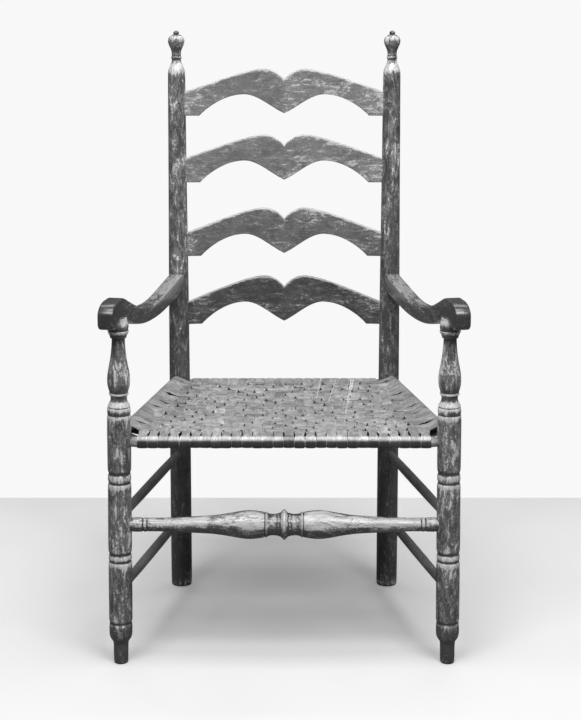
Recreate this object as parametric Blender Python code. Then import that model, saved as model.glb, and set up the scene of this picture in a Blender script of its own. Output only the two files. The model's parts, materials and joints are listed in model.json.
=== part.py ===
"""Slat-back armchair with turned posts, shaped arms and a woven splint seat.

Metres, +Z up. The chair faces -Y, and the chair's own right side is +X.
Every turned piece is a lathe profile, every joint a tenon in its own bore, and the seat
is wound and woven from flat splints.
"""

import math

import bmesh
import bpy
from mathutils import Matrix, Vector

# Post places: half spacings between post axes, and the seat's depth between axes
FRONT_HALF_SPAN_FOOT = 0.2968
FRONT_HALF_SPAN_TOP = 0.2902
REAR_HALF_SPAN_FOOT = 0.2100
REAR_HALF_SPAN_TOP = 0.2129
SEAT_DEPTH = 0.4096
BACK_LEAN = math.radians(4.0)

# Heights above the floor
ARM_HEIGHT = 0.6410
SEAT_RAIL_HEIGHT = 0.4160
SIDE_RAIL_RISE = 0.0110
FRONT_STRETCHER_HEIGHT = 0.2623
UPPER_RUNG_RISE = 0.0132
LOWER_RUNG_HEIGHT = 0.1400
REAR_SHAFT_HEIGHT = 1.0335
FINIAL_HEIGHT = 0.0889

# Posts
FRONT_POST_RADIUS = 0.0212
REAR_POST_RADIUS = 0.0211
FRONT_FOOT_HEIGHT = 0.0800
SHAFT_RINGS_LENGTH = 0.0400
LOW_RINGS_HEIGHT = 0.2025
HIGH_RINGS_HEIGHT = 0.3510
SEAT_BLOCK_RISE = 0.0330
FINIAL_RADIUS = 0.0163
FOOT_TRIM = 0.0030
POST_SIDES = 14

# Fits
FIT = 0.0003
MORTISE_WALL = 0.0015
OVERRUN = 0.0040

# Rungs and rails
STRETCHER_RADIUS = 0.0270
STRETCHER_END_RADIUS = 0.0122
STRETCHER_SIDES = 12
RUNG_RADIUS = 0.0090
RUNG_END_RADIUS = 0.0076
RUNG_TAPER_SHARE = 1 / 3
RAIL_RADIUS = 0.0095
RAIL_END_RADIUS = 0.0082
RAIL_TAPER_LENGTH = 0.0090
RAIL_SIDES = 10
RUNG_SIDES = 10

# Back slats
SLAT_THICKNESS = 0.0085
SLAT_BOW = 0.0120
SLAT_HEIGHTS = (0.0925, 0.0945, 0.0960, 0.0965)
SLAT_CREST_SHARES = (1.0195, 0.8095, 0.5740, 0.3530)
SLAT_END_SHARES = (0.475, 0.475, 0.495, 0.520)
SLAT_FLAT_END_SHARE = 0.862
SLAT_TENON_PAST_AXIS = 0.0030
SLAT_STEPS = 12
PEG_RADIUS = 0.0025
PEG_FROM_AXIS = 0.0050
PEG_SIDES = 8

# Arms
ARM_THICKNESS = 0.0285
ARM_FRONT_HALF_SPAN = 0.2940
ARM_CREST_RISE = 0.0363
SCROLL_REACH = 0.0635
SCROLL_DROP = 0.0100
SCROLL_CORNER = 0.0120
SCROLL_CREST_BACK = 0.0385
SCROLL_SWELL = 0.0220
ARM_SEAT_HALF = 0.0192
ARM_TOP_DIP = 0.0170
ARM_UNDER_DIP = 0.0446
ARM_REAR_TOP = 0.0010
ARM_REAR_UNDER = 0.0345
ARM_EDGE = 0.0030
ARM_TENON_RADIUS = 0.0080
POST_TENON_RADIUS = 0.0070
POST_TENON_LENGTH = 0.0220

# Splint seat
SPLINT_WIDTH = 0.0170
SPLINT_THICKNESS = 0.0009
WARP_GAP = 0.0016
WEFT_GAP = 0.0012
WARP_EDGE = 0.0046
WEFT_START = 0.0408
GORE_BARE_END = 0.0100
GORE_CLEAR_OF_RAIL = 0.0180
GORE_TAIL_SHARE = 0.5
TURNS_PER_SPLINT = 4
TWILL = 2
UNDERSIDE_FLOAT = 6
RAMP_HALF = 0.0003
SPLICE_GAP = 0.0020
WRAP_STEPS = 5

# Turned shapes as shares: (place along the zone, radius as a share of the post's radius)
FOOT_SHARES = ((0.0, 0.59), (0.30, 0.63), (0.50, 0.65), (0.56, 0.73), (0.62, 0.87),
               (0.69, 0.965), (0.80, 0.985), (0.94, 0.955), (0.985, 0.89), (1.03, 0.99))
RING_PAIR_SHARES = ((0.18, 1.0), (0.30, 0.90), (0.40, 0.96), (0.50, 0.985), (0.60, 0.96),
                    (0.70, 0.895), (0.82, 0.99))
CUP_SHARES = ((0.0, 0.98), (0.10, 0.93), (0.125, 0.87), (0.155, 0.735), (0.185, 0.695),
              (0.22, 0.74), (0.245, 0.83), (0.28, 0.83), (0.31, 0.90), (0.36, 0.945),
              (0.42, 0.905), (0.49, 0.80), (0.60, 0.665), (0.70, 0.59), (0.785, 0.555),
              (0.815, 0.68), (0.865, 0.885), (0.898, 0.80), (0.945, 0.85), (0.975, 0.76),
              (1.0, 0.50))
REAR_SHAFT_SHARES = ((0.004, 0.93), (0.011, 0.995), (0.22, 1.0), (0.44, 0.96), (0.60, 0.935),
                     (0.76, 0.875), (0.90, 0.84), (1.0, 0.81))
FINIAL_SHARES = ((0.11, 0.99), (0.175, 0.875), (0.24, 0.725), (0.305, 0.60), (0.36, 0.555),
                 (0.387, 0.635), (0.426, 0.635), (0.457, 0.555), (0.522, 0.565),
                 (0.587, 0.65), (0.651, 0.785), (0.715, 0.955), (0.772, 1.0), (0.837, 0.885),
                 (0.884, 0.66), (0.906, 0.45), (0.919, 0.27), (0.953, 0.345), (0.985, 0.26),
                 (1.0, 0.12))
STRETCHER_SHARES = ((0.0, 1.0), (0.012, 0.97), (0.026, 0.80), (0.05, 0.77), (0.075, 0.705),
                    (0.095, 0.72), (0.112, 0.845), (0.135, 0.86), (0.152, 0.84), (0.175, 0.90),
                    (0.215, 0.945), (0.25, 0.945), (0.29, 0.89), (0.37, 0.745), (0.45, 0.615),
                    (0.54, 0.565), (0.66, 0.505), (0.80, 0.445), (0.905, 0.45), (0.92, 0.415),
                    (0.935, 0.45), (0.965, 0.465))

# Slat outline: Bezier handles as shares (half width, depth below the crest)
SLAT_TOP_OUTER_SHARES = ((0.66, -0.245), (0.36, 0.0), (0.205, 0.0))
SLAT_TOP_INNER_SHARES = ((0.205, 0.0), (0.13, 0.0), (0.05, -0.10), (0.0, -0.225))
SLAT_LOW_OUTER_SHARES = ((SLAT_FLAT_END_SHARE, -1.0), (0.80, -0.86), (0.62, -0.545),
                         (0.405, -0.545))
SLAT_LOW_INNER_SHARES = ((0.405, -0.545), (0.27, -0.545), (0.13, -0.83), (0.0, -0.95))

# Arm outline: Bezier handles as shares of the length between post axes
ARM_TOP_FRONT_SHARES = (-0.012, 0.058, 0.22, 0.523)
ARM_TOP_REAR_SHARES = (0.523, 0.674, 0.895, 1.0)
ARM_UNDER_REAR_SHARES = (1.0, 0.86, 0.70, 0.546)
ARM_UNDER_MID_SHARES = (0.546, 0.465, 0.35, 0.244)
ARM_UNDER_FRONT_SHARES = (0.139, 0.062)
ARM_UNDER_MID_DROP_SHARES = (0.96, 0.75)
ARM_UNDER_NEAR_DROP_SHARES = (0.54, 0.38)
CURVE_STEPS = 6
TOP_CURVE_STEPS = 9
MID_CURVE_STEPS = 4
CORNER_STEPS = 3
SEARCH_HALVINGS = 30

# Angles at which a corner counts as sharp
OUTLINE_CORNER = math.radians(60.0)
SMOOTH_BELOW = math.radians(35.0)

# Finish of each kind of piece: colour, roughness
PAINTED_WOOD = ((0.055, 0.055, 0.057), 0.45)
WORN_SLAT = ((0.10, 0.10, 0.10), 0.5)
RUNG_WOOD = ((0.16, 0.16, 0.158), 0.4)
ARM_WOOD = ((0.05, 0.05, 0.05), 0.35)
PEG_WOOD = ((0.25, 0.25, 0.245), 0.6)
SPLINT_WOOD = ((0.28, 0.28, 0.275), 0.5)

PARTS = []


def finish(name, look):
    """A plain material of the piece's own colour and roughness."""
    colour, roughness = look
    material = bpy.data.materials.new(name)
    material.use_nodes = True
    shader = material.node_tree.nodes["Principled BSDF"]
    shader.inputs["Base Color"].default_value = (*colour, 1.0)
    shader.inputs["Roughness"].default_value = roughness
    shader.inputs["Metallic"].default_value = 0.0
    return material


def add_part(name, bm, look, placement=None):
    """Put a finished mesh in the scene as one named piece."""
    bmesh.ops.recalc_face_normals(bm, faces=bm.faces)
    mesh = bpy.data.meshes.new(name)
    bm.to_mesh(mesh)
    bm.free()
    mesh.materials.append(finish(name, look))
    part = bpy.data.objects.new(name, mesh)
    bpy.context.collection.objects.link(part)
    if placement is not None:
        part.matrix_world = placement
    PARTS.append(part)
    return part


def add_cutter(name, bm):
    """A shape that only cuts other pieces."""
    bmesh.ops.recalc_face_normals(bm, faces=bm.faces)
    mesh = bpy.data.meshes.new(name)
    bm.to_mesh(mesh)
    bm.free()
    cutter = bpy.data.objects.new(name, mesh)
    bpy.context.collection.objects.link(cutter)
    cutter.hide_render = True
    cutter.display_type = "WIRE"
    return cutter


def combine(part, tool, operation):
    """Cut a piece with a tool, or join the tool to it."""
    modifier = part.modifiers.new(tool.name, "BOOLEAN")
    modifier.operation = operation
    modifier.solver = "EXACT"
    modifier.object = tool


def post_axis(front, side, height):
    """A point on a post's axis at a height: side is -1 for left and 1 for right."""
    if front:
        share = height / ARM_HEIGHT
        half = FRONT_HALF_SPAN_FOOT + share * (FRONT_HALF_SPAN_TOP - FRONT_HALF_SPAN_FOOT)
        return Vector((side * half, 0.0, height))
    share = height / (REAR_SHAFT_HEIGHT + FINIAL_HEIGHT)
    half = REAR_HALF_SPAN_FOOT + share * (REAR_HALF_SPAN_TOP - REAR_HALF_SPAN_FOOT)
    back = SEAT_DEPTH + (height - SEAT_RAIL_HEIGHT) * math.tan(BACK_LEAN)
    return Vector((side * half, back, height))


def aligned(start, direction, up):
    """A frame whose Z runs along a direction and whose X points up."""
    along = direction.normalized()
    across = along.cross(up).normalized()
    upward = across.cross(along)
    turn = Matrix((upward, across, along)).transposed()
    return Matrix.Translation(start) @ turn.to_4x4()


def lathe(bm, profile, sides):
    """Spin a (height, radius) profile round Z and close its ends on the axis."""
    start, end = profile[0][0], profile[-1][0]
    points = [(start, 0.0), *profile, (end, 0.0)]
    line = [bm.verts.new((radius, 0.0, height)) for height, radius in points]
    edges = [bm.edges.new(pair) for pair in zip(line, line[1:]) if pair[0].co != pair[1].co]
    bmesh.ops.spin(bm, geom=line + edges, cent=(0.0, 0.0, 0.0), axis=(0.0, 0.0, 1.0),
                   angle=math.tau, steps=sides, use_merge=True)
    bmesh.ops.remove_doubles(bm, verts=bm.verts, dist=FIT / sides)


def add_rod(bm, start, end, radius, sides, up=Vector((0.0, 0.0, 1.0))):
    """A straight round bar between two points, with a corner of its section facing up."""
    span = end - start
    middle = Matrix.Translation((0.0, 0.0, span.length / 2))
    corner_first = Matrix.Rotation(math.radians(-90.0), 4, "Z")
    bmesh.ops.create_cone(bm, cap_ends=True, segments=sides, radius1=radius, radius2=radius,
                          depth=span.length,
                          matrix=aligned(start, span, up) @ middle @ corner_first)


def zone(shares, bottom, top, radius):
    """Turn a table of shares into (height, radius) points between two heights."""
    return [(bottom + place * (top - bottom), share * radius) for place, share in shares]


def front_post_profile():
    """Foot, plain shaft with two groups of rings, then cove, vase, collar and bead."""
    radius = FRONT_POST_RADIUS
    half = SHAFT_RINGS_LENGTH / 2
    block = SEAT_RAIL_HEIGHT + SIDE_RAIL_RISE + SEAT_BLOCK_RISE
    points = zone(FOOT_SHARES, -FOOT_TRIM, FRONT_FOOT_HEIGHT, radius)
    points += zone(RING_PAIR_SHARES, LOW_RINGS_HEIGHT - half, LOW_RINGS_HEIGHT + half, radius)
    points += zone(RING_PAIR_SHARES, HIGH_RINGS_HEIGHT - half, HIGH_RINGS_HEIGHT + half, radius)
    points += zone(CUP_SHARES, block, ARM_HEIGHT - FIT, radius)
    tenon_top = ARM_HEIGHT + POST_TENON_LENGTH
    points += [(ARM_HEIGHT - FIT, POST_TENON_RADIUS), (tenon_top, POST_TENON_RADIUS)]
    return points


def rear_post_profile():
    """A gently tapered shaft with a rounded foot and an urn finial."""
    base = [(-FOOT_TRIM, REAR_SHAFT_SHARES[0][1] * REAR_POST_RADIUS)]
    shaft = zone(REAR_SHAFT_SHARES, 0.0, REAR_SHAFT_HEIGHT, REAR_POST_RADIUS)
    finial_top = REAR_SHAFT_HEIGHT + FINIAL_HEIGHT
    return base + shaft + zone(FINIAL_SHARES, REAR_SHAFT_HEIGHT, finial_top, FINIAL_RADIUS)


def radius_at(profile, height):
    """The turned radius of a profile at a height, by straight lines between its points."""
    for (low, low_radius), (high, high_radius) in zip(profile, profile[1:]):
        if low <= height <= high and high > low:
            share = (height - low) / (high - low)
            return low_radius + share * (high_radius - low_radius)
    return profile[-1][1]


def post_radius(front, height):
    """The radius of a front or rear post at a height."""
    return radius_at(front_post_profile() if front else rear_post_profile(), height)


def trim_foot(bm, placement):
    """Cut a leaning post level with the floor."""
    local = placement.inverted()
    floor = local @ Vector((0.0, 0.0, 0.0))
    upward = (local.to_3x3() @ Vector((0.0, 0.0, 1.0))).normalized()
    geometry = list(bm.verts) + list(bm.edges) + list(bm.faces)
    cut = bmesh.ops.bisect_plane(bm, geom=geometry, plane_co=floor, plane_no=upward,
                                 clear_inner=True)
    rim = [item for item in cut["geom_cut"] if isinstance(item, bmesh.types.BMEdge)]
    bmesh.ops.edgeloop_fill(bm, edges=rim)


def make_post(front, side):
    """A turned post on its leaning axis."""
    low = post_axis(front, side, 0.0)
    high = post_axis(front, side, ARM_HEIGHT)
    placement = aligned(low, high - low, Vector((side, 0.0, 0.0)))
    bm = bmesh.new()
    profile = front_post_profile() if front else rear_post_profile()
    lathe(bm, profile, POST_SIDES)
    trim_foot(bm, placement)
    place = "front" if front else "rear"
    hand = "left" if side < 0 else "right"
    return add_part(f"{place}_post_{hand}", bm, PAINTED_WOOD, placement)


def tenon_stop(radius):
    """How far short of the post's axis a tenon ends, clear of one that comes in across it."""
    return radius + FIT + MORTISE_WALL


class Rung:
    """A bar between two posts: where its axis runs, and where it enters them."""

    def __init__(self, start, end, height, end_radius):
        self.height = height
        self.end_radius = end_radius
        self.start = post_axis(*start, height)
        self.end = post_axis(*end, height)
        self.span = self.end - self.start
        self.first = post_radius(start[0], height)
        self.last = self.span.length - post_radius(end[0], height)

    def bore(self, bm, at_start, sides):
        """The hole that one end needs in its post."""
        along = self.span.normalized()
        stop = tenon_stop(self.end_radius) - FIT
        reach = max(FRONT_POST_RADIUS, REAR_POST_RADIUS) + OVERRUN
        origin = self.start if at_start else self.end
        inward = along if at_start else -along
        add_rod(bm, origin + inward * stop, origin + inward * reach,
                self.end_radius + FIT, sides)

    def make(self, name, profile, sides):
        """The bar itself: (distance from the start axis, radius) points between the posts."""
        stop = tenon_stop(self.end_radius)
        points = [(stop, self.end_radius), *profile, (self.span.length - stop, self.end_radius)]
        bm = bmesh.new()
        lathe(bm, points, sides)
        placement = aligned(self.start, self.span, Vector((0.0, 0.0, 1.0)))
        return add_part(name, bm, RUNG_WOOD, placement)


def plain_profile(rung, radius, taper):
    """A bar that is straight in the middle and tapers into its posts."""
    first, last = rung.first, rung.last
    return [(first, rung.end_radius), (first + taper, radius), (last - taper, radius),
            (last, rung.end_radius)]


def stretcher_profile(rung):
    """The turned front stretcher: a sharp ring, coves, discs and two long balusters."""
    middle = (rung.first + rung.last) / 2
    half = (rung.last - rung.first) / 2
    right = [(middle + place * half, share * STRETCHER_RADIUS)
             for place, share in STRETCHER_SHARES]
    right.append((rung.last, STRETCHER_END_RADIUS))
    left = [(2 * middle - place, radius) for place, radius in reversed(right[1:])]
    return left + right


def bezier(handles, share):
    """A point on a cubic curve through four handles, each a number or a vector."""
    first, second, third, fourth = handles
    rest = 1 - share
    return (rest ** 3 * first + 3 * rest ** 2 * share * second
            + 3 * rest * share ** 2 * third + share ** 3 * fourth)


def height_on_curve(shares, across):
    """The height share of a curve of (across, height) handles where it reaches across."""
    places = [place for place, height in shares]
    heights = [height for place, height in shares]
    low, high = 0.0, 1.0
    for halving in range(SEARCH_HALVINGS):
        middle = (low + high) / 2
        if bezier(places, middle) > across:
            low = middle
        else:
            high = middle
    return bezier(heights, low)


class Slat:
    """One back slat: its place on the posts, its outline and its bow."""

    def __init__(self, index):
        back = REAR_SHAFT_HEIGHT - SEAT_RAIL_HEIGHT
        self.height = SLAT_HEIGHTS[index]
        self.end_share = SLAT_END_SHARES[index]
        self.crest = SEAT_RAIL_HEIGHT + SLAT_CREST_SHARES[index] * back
        self.axis_half = post_axis(False, 1, self.crest - self.height / 2).x
        self.half_width = self.axis_half - post_radius(False, self.crest - self.height / 2)
        self.reach = self.axis_half + SLAT_TENON_PAST_AXIS
        origin = post_axis(False, 1, self.crest)
        origin.x = 0.0
        self.placement = Matrix.Translation(origin) @ Matrix.Rotation(-BACK_LEAN, 4, "X")

    def edges(self, across):
        """Top and bottom as shares of the slat's height, at a share of its half width."""
        if across >= 1.0:
            return -self.end_share, -1.0
        if across > SLAT_TOP_INNER_SHARES[0][0]:
            top = ((1.0, -self.end_share), *SLAT_TOP_OUTER_SHARES)
        else:
            top = SLAT_TOP_INNER_SHARES
        inner = across <= SLAT_LOW_INNER_SHARES[0][0]
        low = SLAT_LOW_INNER_SHARES if inner else SLAT_LOW_OUTER_SHARES
        bottom = -1.0 if across >= SLAT_FLAT_END_SHARE else height_on_curve(low, across)
        return height_on_curve(top, across), bottom

    def section(self, across, grow):
        """Corners of the slat's section at a distance across the chair, grown all round."""
        top, bottom = self.edges(min(abs(across) / self.half_width, 1.0))
        bow = SLAT_BOW * (1 - (across / self.half_width) ** 2)
        half = SLAT_THICKNESS / 2 + grow
        high = top * self.height + grow
        low = bottom * self.height - grow
        return [Vector((across, bow - half, low)), Vector((across, bow - half, high)),
                Vector((across, bow + half, high)), Vector((across, bow + half, low))]

    def loft(self, bm, places, grow):
        """Bridge the slat's sections at the places given."""
        rings = [[bm.verts.new(corner) for corner in self.section(place, grow)]
                 for place in places]
        for ring, following in zip(rings, rings[1:]):
            for corner in range(4):
                after = (corner + 1) % 4
                bm.faces.new((ring[corner], ring[after], following[after], following[corner]))
        bm.faces.new(rings[0])
        bm.faces.new(reversed(rings[-1]))

    def places(self):
        """Where the slat has sections: along its shaped part, at its ends and its tenons."""
        shares = [step * SLAT_FLAT_END_SHARE / SLAT_STEPS for step in range(SLAT_STEPS + 1)]
        half = [share * self.half_width for share in (*shares, 1.0)] + [self.reach]
        return [-place for place in reversed(half[1:])] + half

    def mortise(self, bm, side):
        """The slot for one end of the slat, in world places."""
        inner = self.half_width - OVERRUN
        ends = sorted((side * inner, side * (self.reach + FIT)))
        slot = bmesh.new()
        self.loft(slot, ends, FIT)
        slot.transform(self.placement)
        merge_into(bm, slot)

    def make(self, name):
        """The slat as one bowed board."""
        bm = bmesh.new()
        self.loft(bm, self.places(), 0.0)
        return add_part(name, bm, WORN_SLAT, self.placement)


def merge_into(bm, extra):
    """Add one closed shape to a mesh that holds several."""
    bmesh.ops.recalc_face_normals(extra, faces=extra.faces)
    mesh = bpy.data.meshes.new("piece")
    extra.to_mesh(mesh)
    extra.free()
    bm.from_mesh(mesh)
    bpy.data.meshes.remove(mesh)


def peg_line(slat, side, grow):
    """Ends of the peg that locks a slat's tenon, from front to back through the post."""
    height = slat.crest - slat.height * (1 + slat.end_share) / 2
    centre = post_axis(False, side, height)
    centre.x -= side * PEG_FROM_AXIS
    radius = post_radius(False, height)
    reach = math.sqrt(radius ** 2 - PEG_FROM_AXIS ** 2) + grow
    level = Vector((0.0, math.cos(BACK_LEAN), -math.sin(BACK_LEAN)))
    return centre - level * reach, centre + level * reach


def arm_frame(side):
    """The arm's own frame at the front post: X along it to the back, Z up."""
    rear = post_axis(False, side, ARM_HEIGHT)
    front = Vector((side * ARM_FRONT_HALF_SPAN, 0.0, ARM_HEIGHT))
    along = Vector((rear.x - front.x, rear.y, 0.0))
    length = along.length
    along.normalize()
    upward = Vector((0.0, 0.0, 1.0))
    turn = Matrix((along, upward.cross(along), upward)).transposed()
    return Matrix.Translation(front) @ turn.to_4x4(), length


def arc(centre, radii, start, end, steps):
    """Points on an upright elliptical arc, angles in degrees from the arm's direction."""
    points = []
    for step in range(steps + 1):
        angle = math.radians(start + (end - start) * step / steps)
        points.append(Vector((centre[0] + radii[0] * math.cos(angle), 0.0,
                              centre[1] + radii[1] * math.sin(angle))))
    return points


def swept(places, heights, steps):
    """Points along a cubic curve, without its first."""
    handles = [Vector((place, 0.0, height)) for place, height in zip(places, heights)]
    return [bezier(handles, (step + 1) / steps) for step in range(steps)]


def arm_outline(length):
    """The arm seen from the side, from the scroll's front over the top and back under it."""
    seat = FIT
    scroll_low = -SCROLL_DROP
    crest = ARM_CREST_RISE
    corner = SCROLL_CORNER
    front = -SCROLL_REACH
    crest_place = front + SCROLL_CREST_BACK
    stretched = [[share * length for share in shares] for shares in
                 (ARM_TOP_FRONT_SHARES, ARM_TOP_REAR_SHARES, ARM_UNDER_REAR_SHARES,
                  ARM_UNDER_MID_SHARES, ARM_UNDER_FRONT_SHARES)]
    top_front, top_rear, under_rear, under_mid, under_front = stretched
    dip, under = -ARM_TOP_DIP, -ARM_UNDER_DIP
    low_drop, mid_drop = [under * share for share in ARM_UNDER_MID_DROP_SHARES]
    near_drop, seat_drop = [under * share for share in ARM_UNDER_NEAR_DROP_SHARES]
    points = arc((front + corner, scroll_low + corner), (corner, corner), 270, 180,
                 CORNER_STEPS)
    points += arc((crest_place, crest - SCROLL_SWELL), (SCROLL_CREST_BACK, SCROLL_SWELL),
                  180, 90, CURVE_STEPS)
    points += [Vector((top_front[0], 0.0, crest))]
    points += swept(top_front, (crest, crest, dip, dip), TOP_CURVE_STEPS)
    points += swept(top_rear, (dip, dip, ARM_REAR_TOP, ARM_REAR_TOP), CURVE_STEPS)
    points += [Vector((length, 0.0, -ARM_REAR_UNDER))]
    points += swept(under_rear, (-ARM_REAR_UNDER, -ARM_REAR_UNDER, under, under), CURVE_STEPS)
    points += swept(under_mid, (under, under, low_drop, mid_drop), MID_CURVE_STEPS)
    points += swept((under_mid[3], under_front[0], under_front[1], ARM_SEAT_HALF + FIT),
                    (mid_drop, near_drop, seat_drop, seat), CURVE_STEPS)
    points += [Vector((-ARM_SEAT_HALF, 0.0, seat))]
    points += [Vector((-ARM_SEAT_HALF, 0.0, scroll_low + ARM_EDGE))]
    points += [Vector((-ARM_SEAT_HALF - ARM_EDGE, 0.0, scroll_low))]
    return points


def make_arm(side):
    """A sawn arm with a rolled front, coped to the rear post, with a round tenon."""
    hand = "left" if side < 0 else "right"
    frame, length = arm_frame(side)
    bm = bmesh.new()
    half = Vector((0.0, ARM_THICKNESS / 2, 0.0))
    outline = arm_outline(length)
    face = bm.faces.new([bm.verts.new(point - half) for point in outline])
    body = bmesh.ops.extrude_face_region(bm, geom=[face])
    moved = [item for item in body["geom"] if isinstance(item, bmesh.types.BMVert)]
    bmesh.ops.translate(bm, verts=moved, vec=2 * half)
    arm = add_part(f"arm_{hand}", bm, ARM_WOOD, frame)
    edges = arm.modifiers.new("eased_edges", "BEVEL")
    edges.width = ARM_EDGE
    edges.segments = 1
    edges.limit_method = "ANGLE"
    edges.angle_limit = OUTLINE_CORNER

    middle = ARM_HEIGHT + (ARM_REAR_TOP - ARM_REAR_UNDER) / 2
    post_point = post_axis(False, side, middle)
    post_high = post_axis(False, side, middle + ARM_HEIGHT)
    lean = (post_high - post_point).normalized()
    reach = lean * (ARM_REAR_UNDER + ARM_THICKNESS)
    cope = bmesh.new()
    add_rod(cope, post_point - reach, post_point + reach,
            post_radius(False, middle) + FIT, POST_SIDES, Vector((side, 0.0, 0.0)))
    combine(arm, add_cutter(f"arm_{hand}_cope", cope), "DIFFERENCE")

    socket = bmesh.new()
    base = post_axis(True, side, ARM_HEIGHT - OVERRUN)
    top = post_axis(True, side, ARM_HEIGHT + POST_TENON_LENGTH + FIT)
    add_rod(socket, base, top, POST_TENON_RADIUS + FIT, POST_SIDES, Vector((side, 0.0, 0.0)))
    combine(arm, add_cutter(f"arm_{hand}_socket", socket), "DIFFERENCE")

    forward = (frame.to_3x3() @ Vector((-1.0, 0.0, 0.0))).normalized()
    stop = tenon_stop(ARM_TENON_RADIUS)
    tenon = bmesh.new()
    add_rod(tenon, post_point + forward * stop,
            post_point + forward * (REAR_POST_RADIUS + ARM_THICKNESS),
            ARM_TENON_RADIUS, RUNG_SIDES)
    combine(arm, add_cutter(f"arm_{hand}_tenon", tenon), "UNION")

    bore = bmesh.new()
    add_rod(bore, post_point + forward * (stop - FIT),
            post_point + forward * (REAR_POST_RADIUS + OVERRUN),
            ARM_TENON_RADIUS + FIT, RUNG_SIDES)
    return bore


def side_rail_half(height, back):
    """Distance from the chair's middle to a side rail's axis, at a place back from the front."""
    front = post_axis(True, 1, height)
    rear = post_axis(False, 1, height)
    return front.x + (rear.x - front.x) * back / rear.y


def mitres(path):
    """Normals of a (run, height) path at its points, lengthened at bends to keep thickness."""
    normals = []
    for (run, height), (next_run, next_height) in zip(path, path[1:]):
        step = Vector((next_run - run, next_height - height)).normalized()
        normals.append(Vector((-step.y, step.x)))
    result = [normals[0]]
    for before, after in zip(normals, normals[1:]):
        bisector = (before + after).normalized()
        result.append(bisector / bisector.dot(before))
    return result + [normals[-1]]


class Strip:
    """A flat splint that follows a path: each station is a centre and an edge-to-edge skew."""

    def __init__(self, runs_across):
        self.runs_across = runs_across
        self.path = []
        self.edges = []

    def add(self, run, height, drift, skew=0.0):
        """One station: skew is how far the run changes for each length across the strip."""
        half = SPLINT_WIDTH / 2
        self.path.append((run, height))
        self.edges.append([(run - skew * half, drift - half), (run + skew * half, drift + half)])

    def point(self, run, drift, height):
        """A strip place as a point in the chair: runs across it, or front to back."""
        return Vector((run, drift, height)) if self.runs_across else Vector((drift, run, height))

    def make(self, name):
        """Loft the strip's thin section along its stations."""
        bm = bmesh.new()
        rings = []
        for (_, height), edges, normal in zip(self.path, self.edges, mitres(self.path)):
            offset = normal * SPLINT_THICKNESS / 2
            (near, near_drift), (far, far_drift) = edges
            corners = [self.point(near + offset.x, near_drift, height + offset.y),
                       self.point(far + offset.x, far_drift, height + offset.y),
                       self.point(far - offset.x, far_drift, height - offset.y),
                       self.point(near - offset.x, near_drift, height - offset.y)]
            rings.append([bm.verts.new(corner) for corner in corners])
        for ring, following in zip(rings, rings[1:]):
            for corner in range(4):
                after = (corner + 1) % 4
                bm.faces.new((ring[corner], ring[after], following[after], following[corner]))
        bm.faces.new(rings[0])
        bm.faces.new(reversed(rings[-1]))
        return add_part(name, bm, SPLINT_WOOD)


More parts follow.
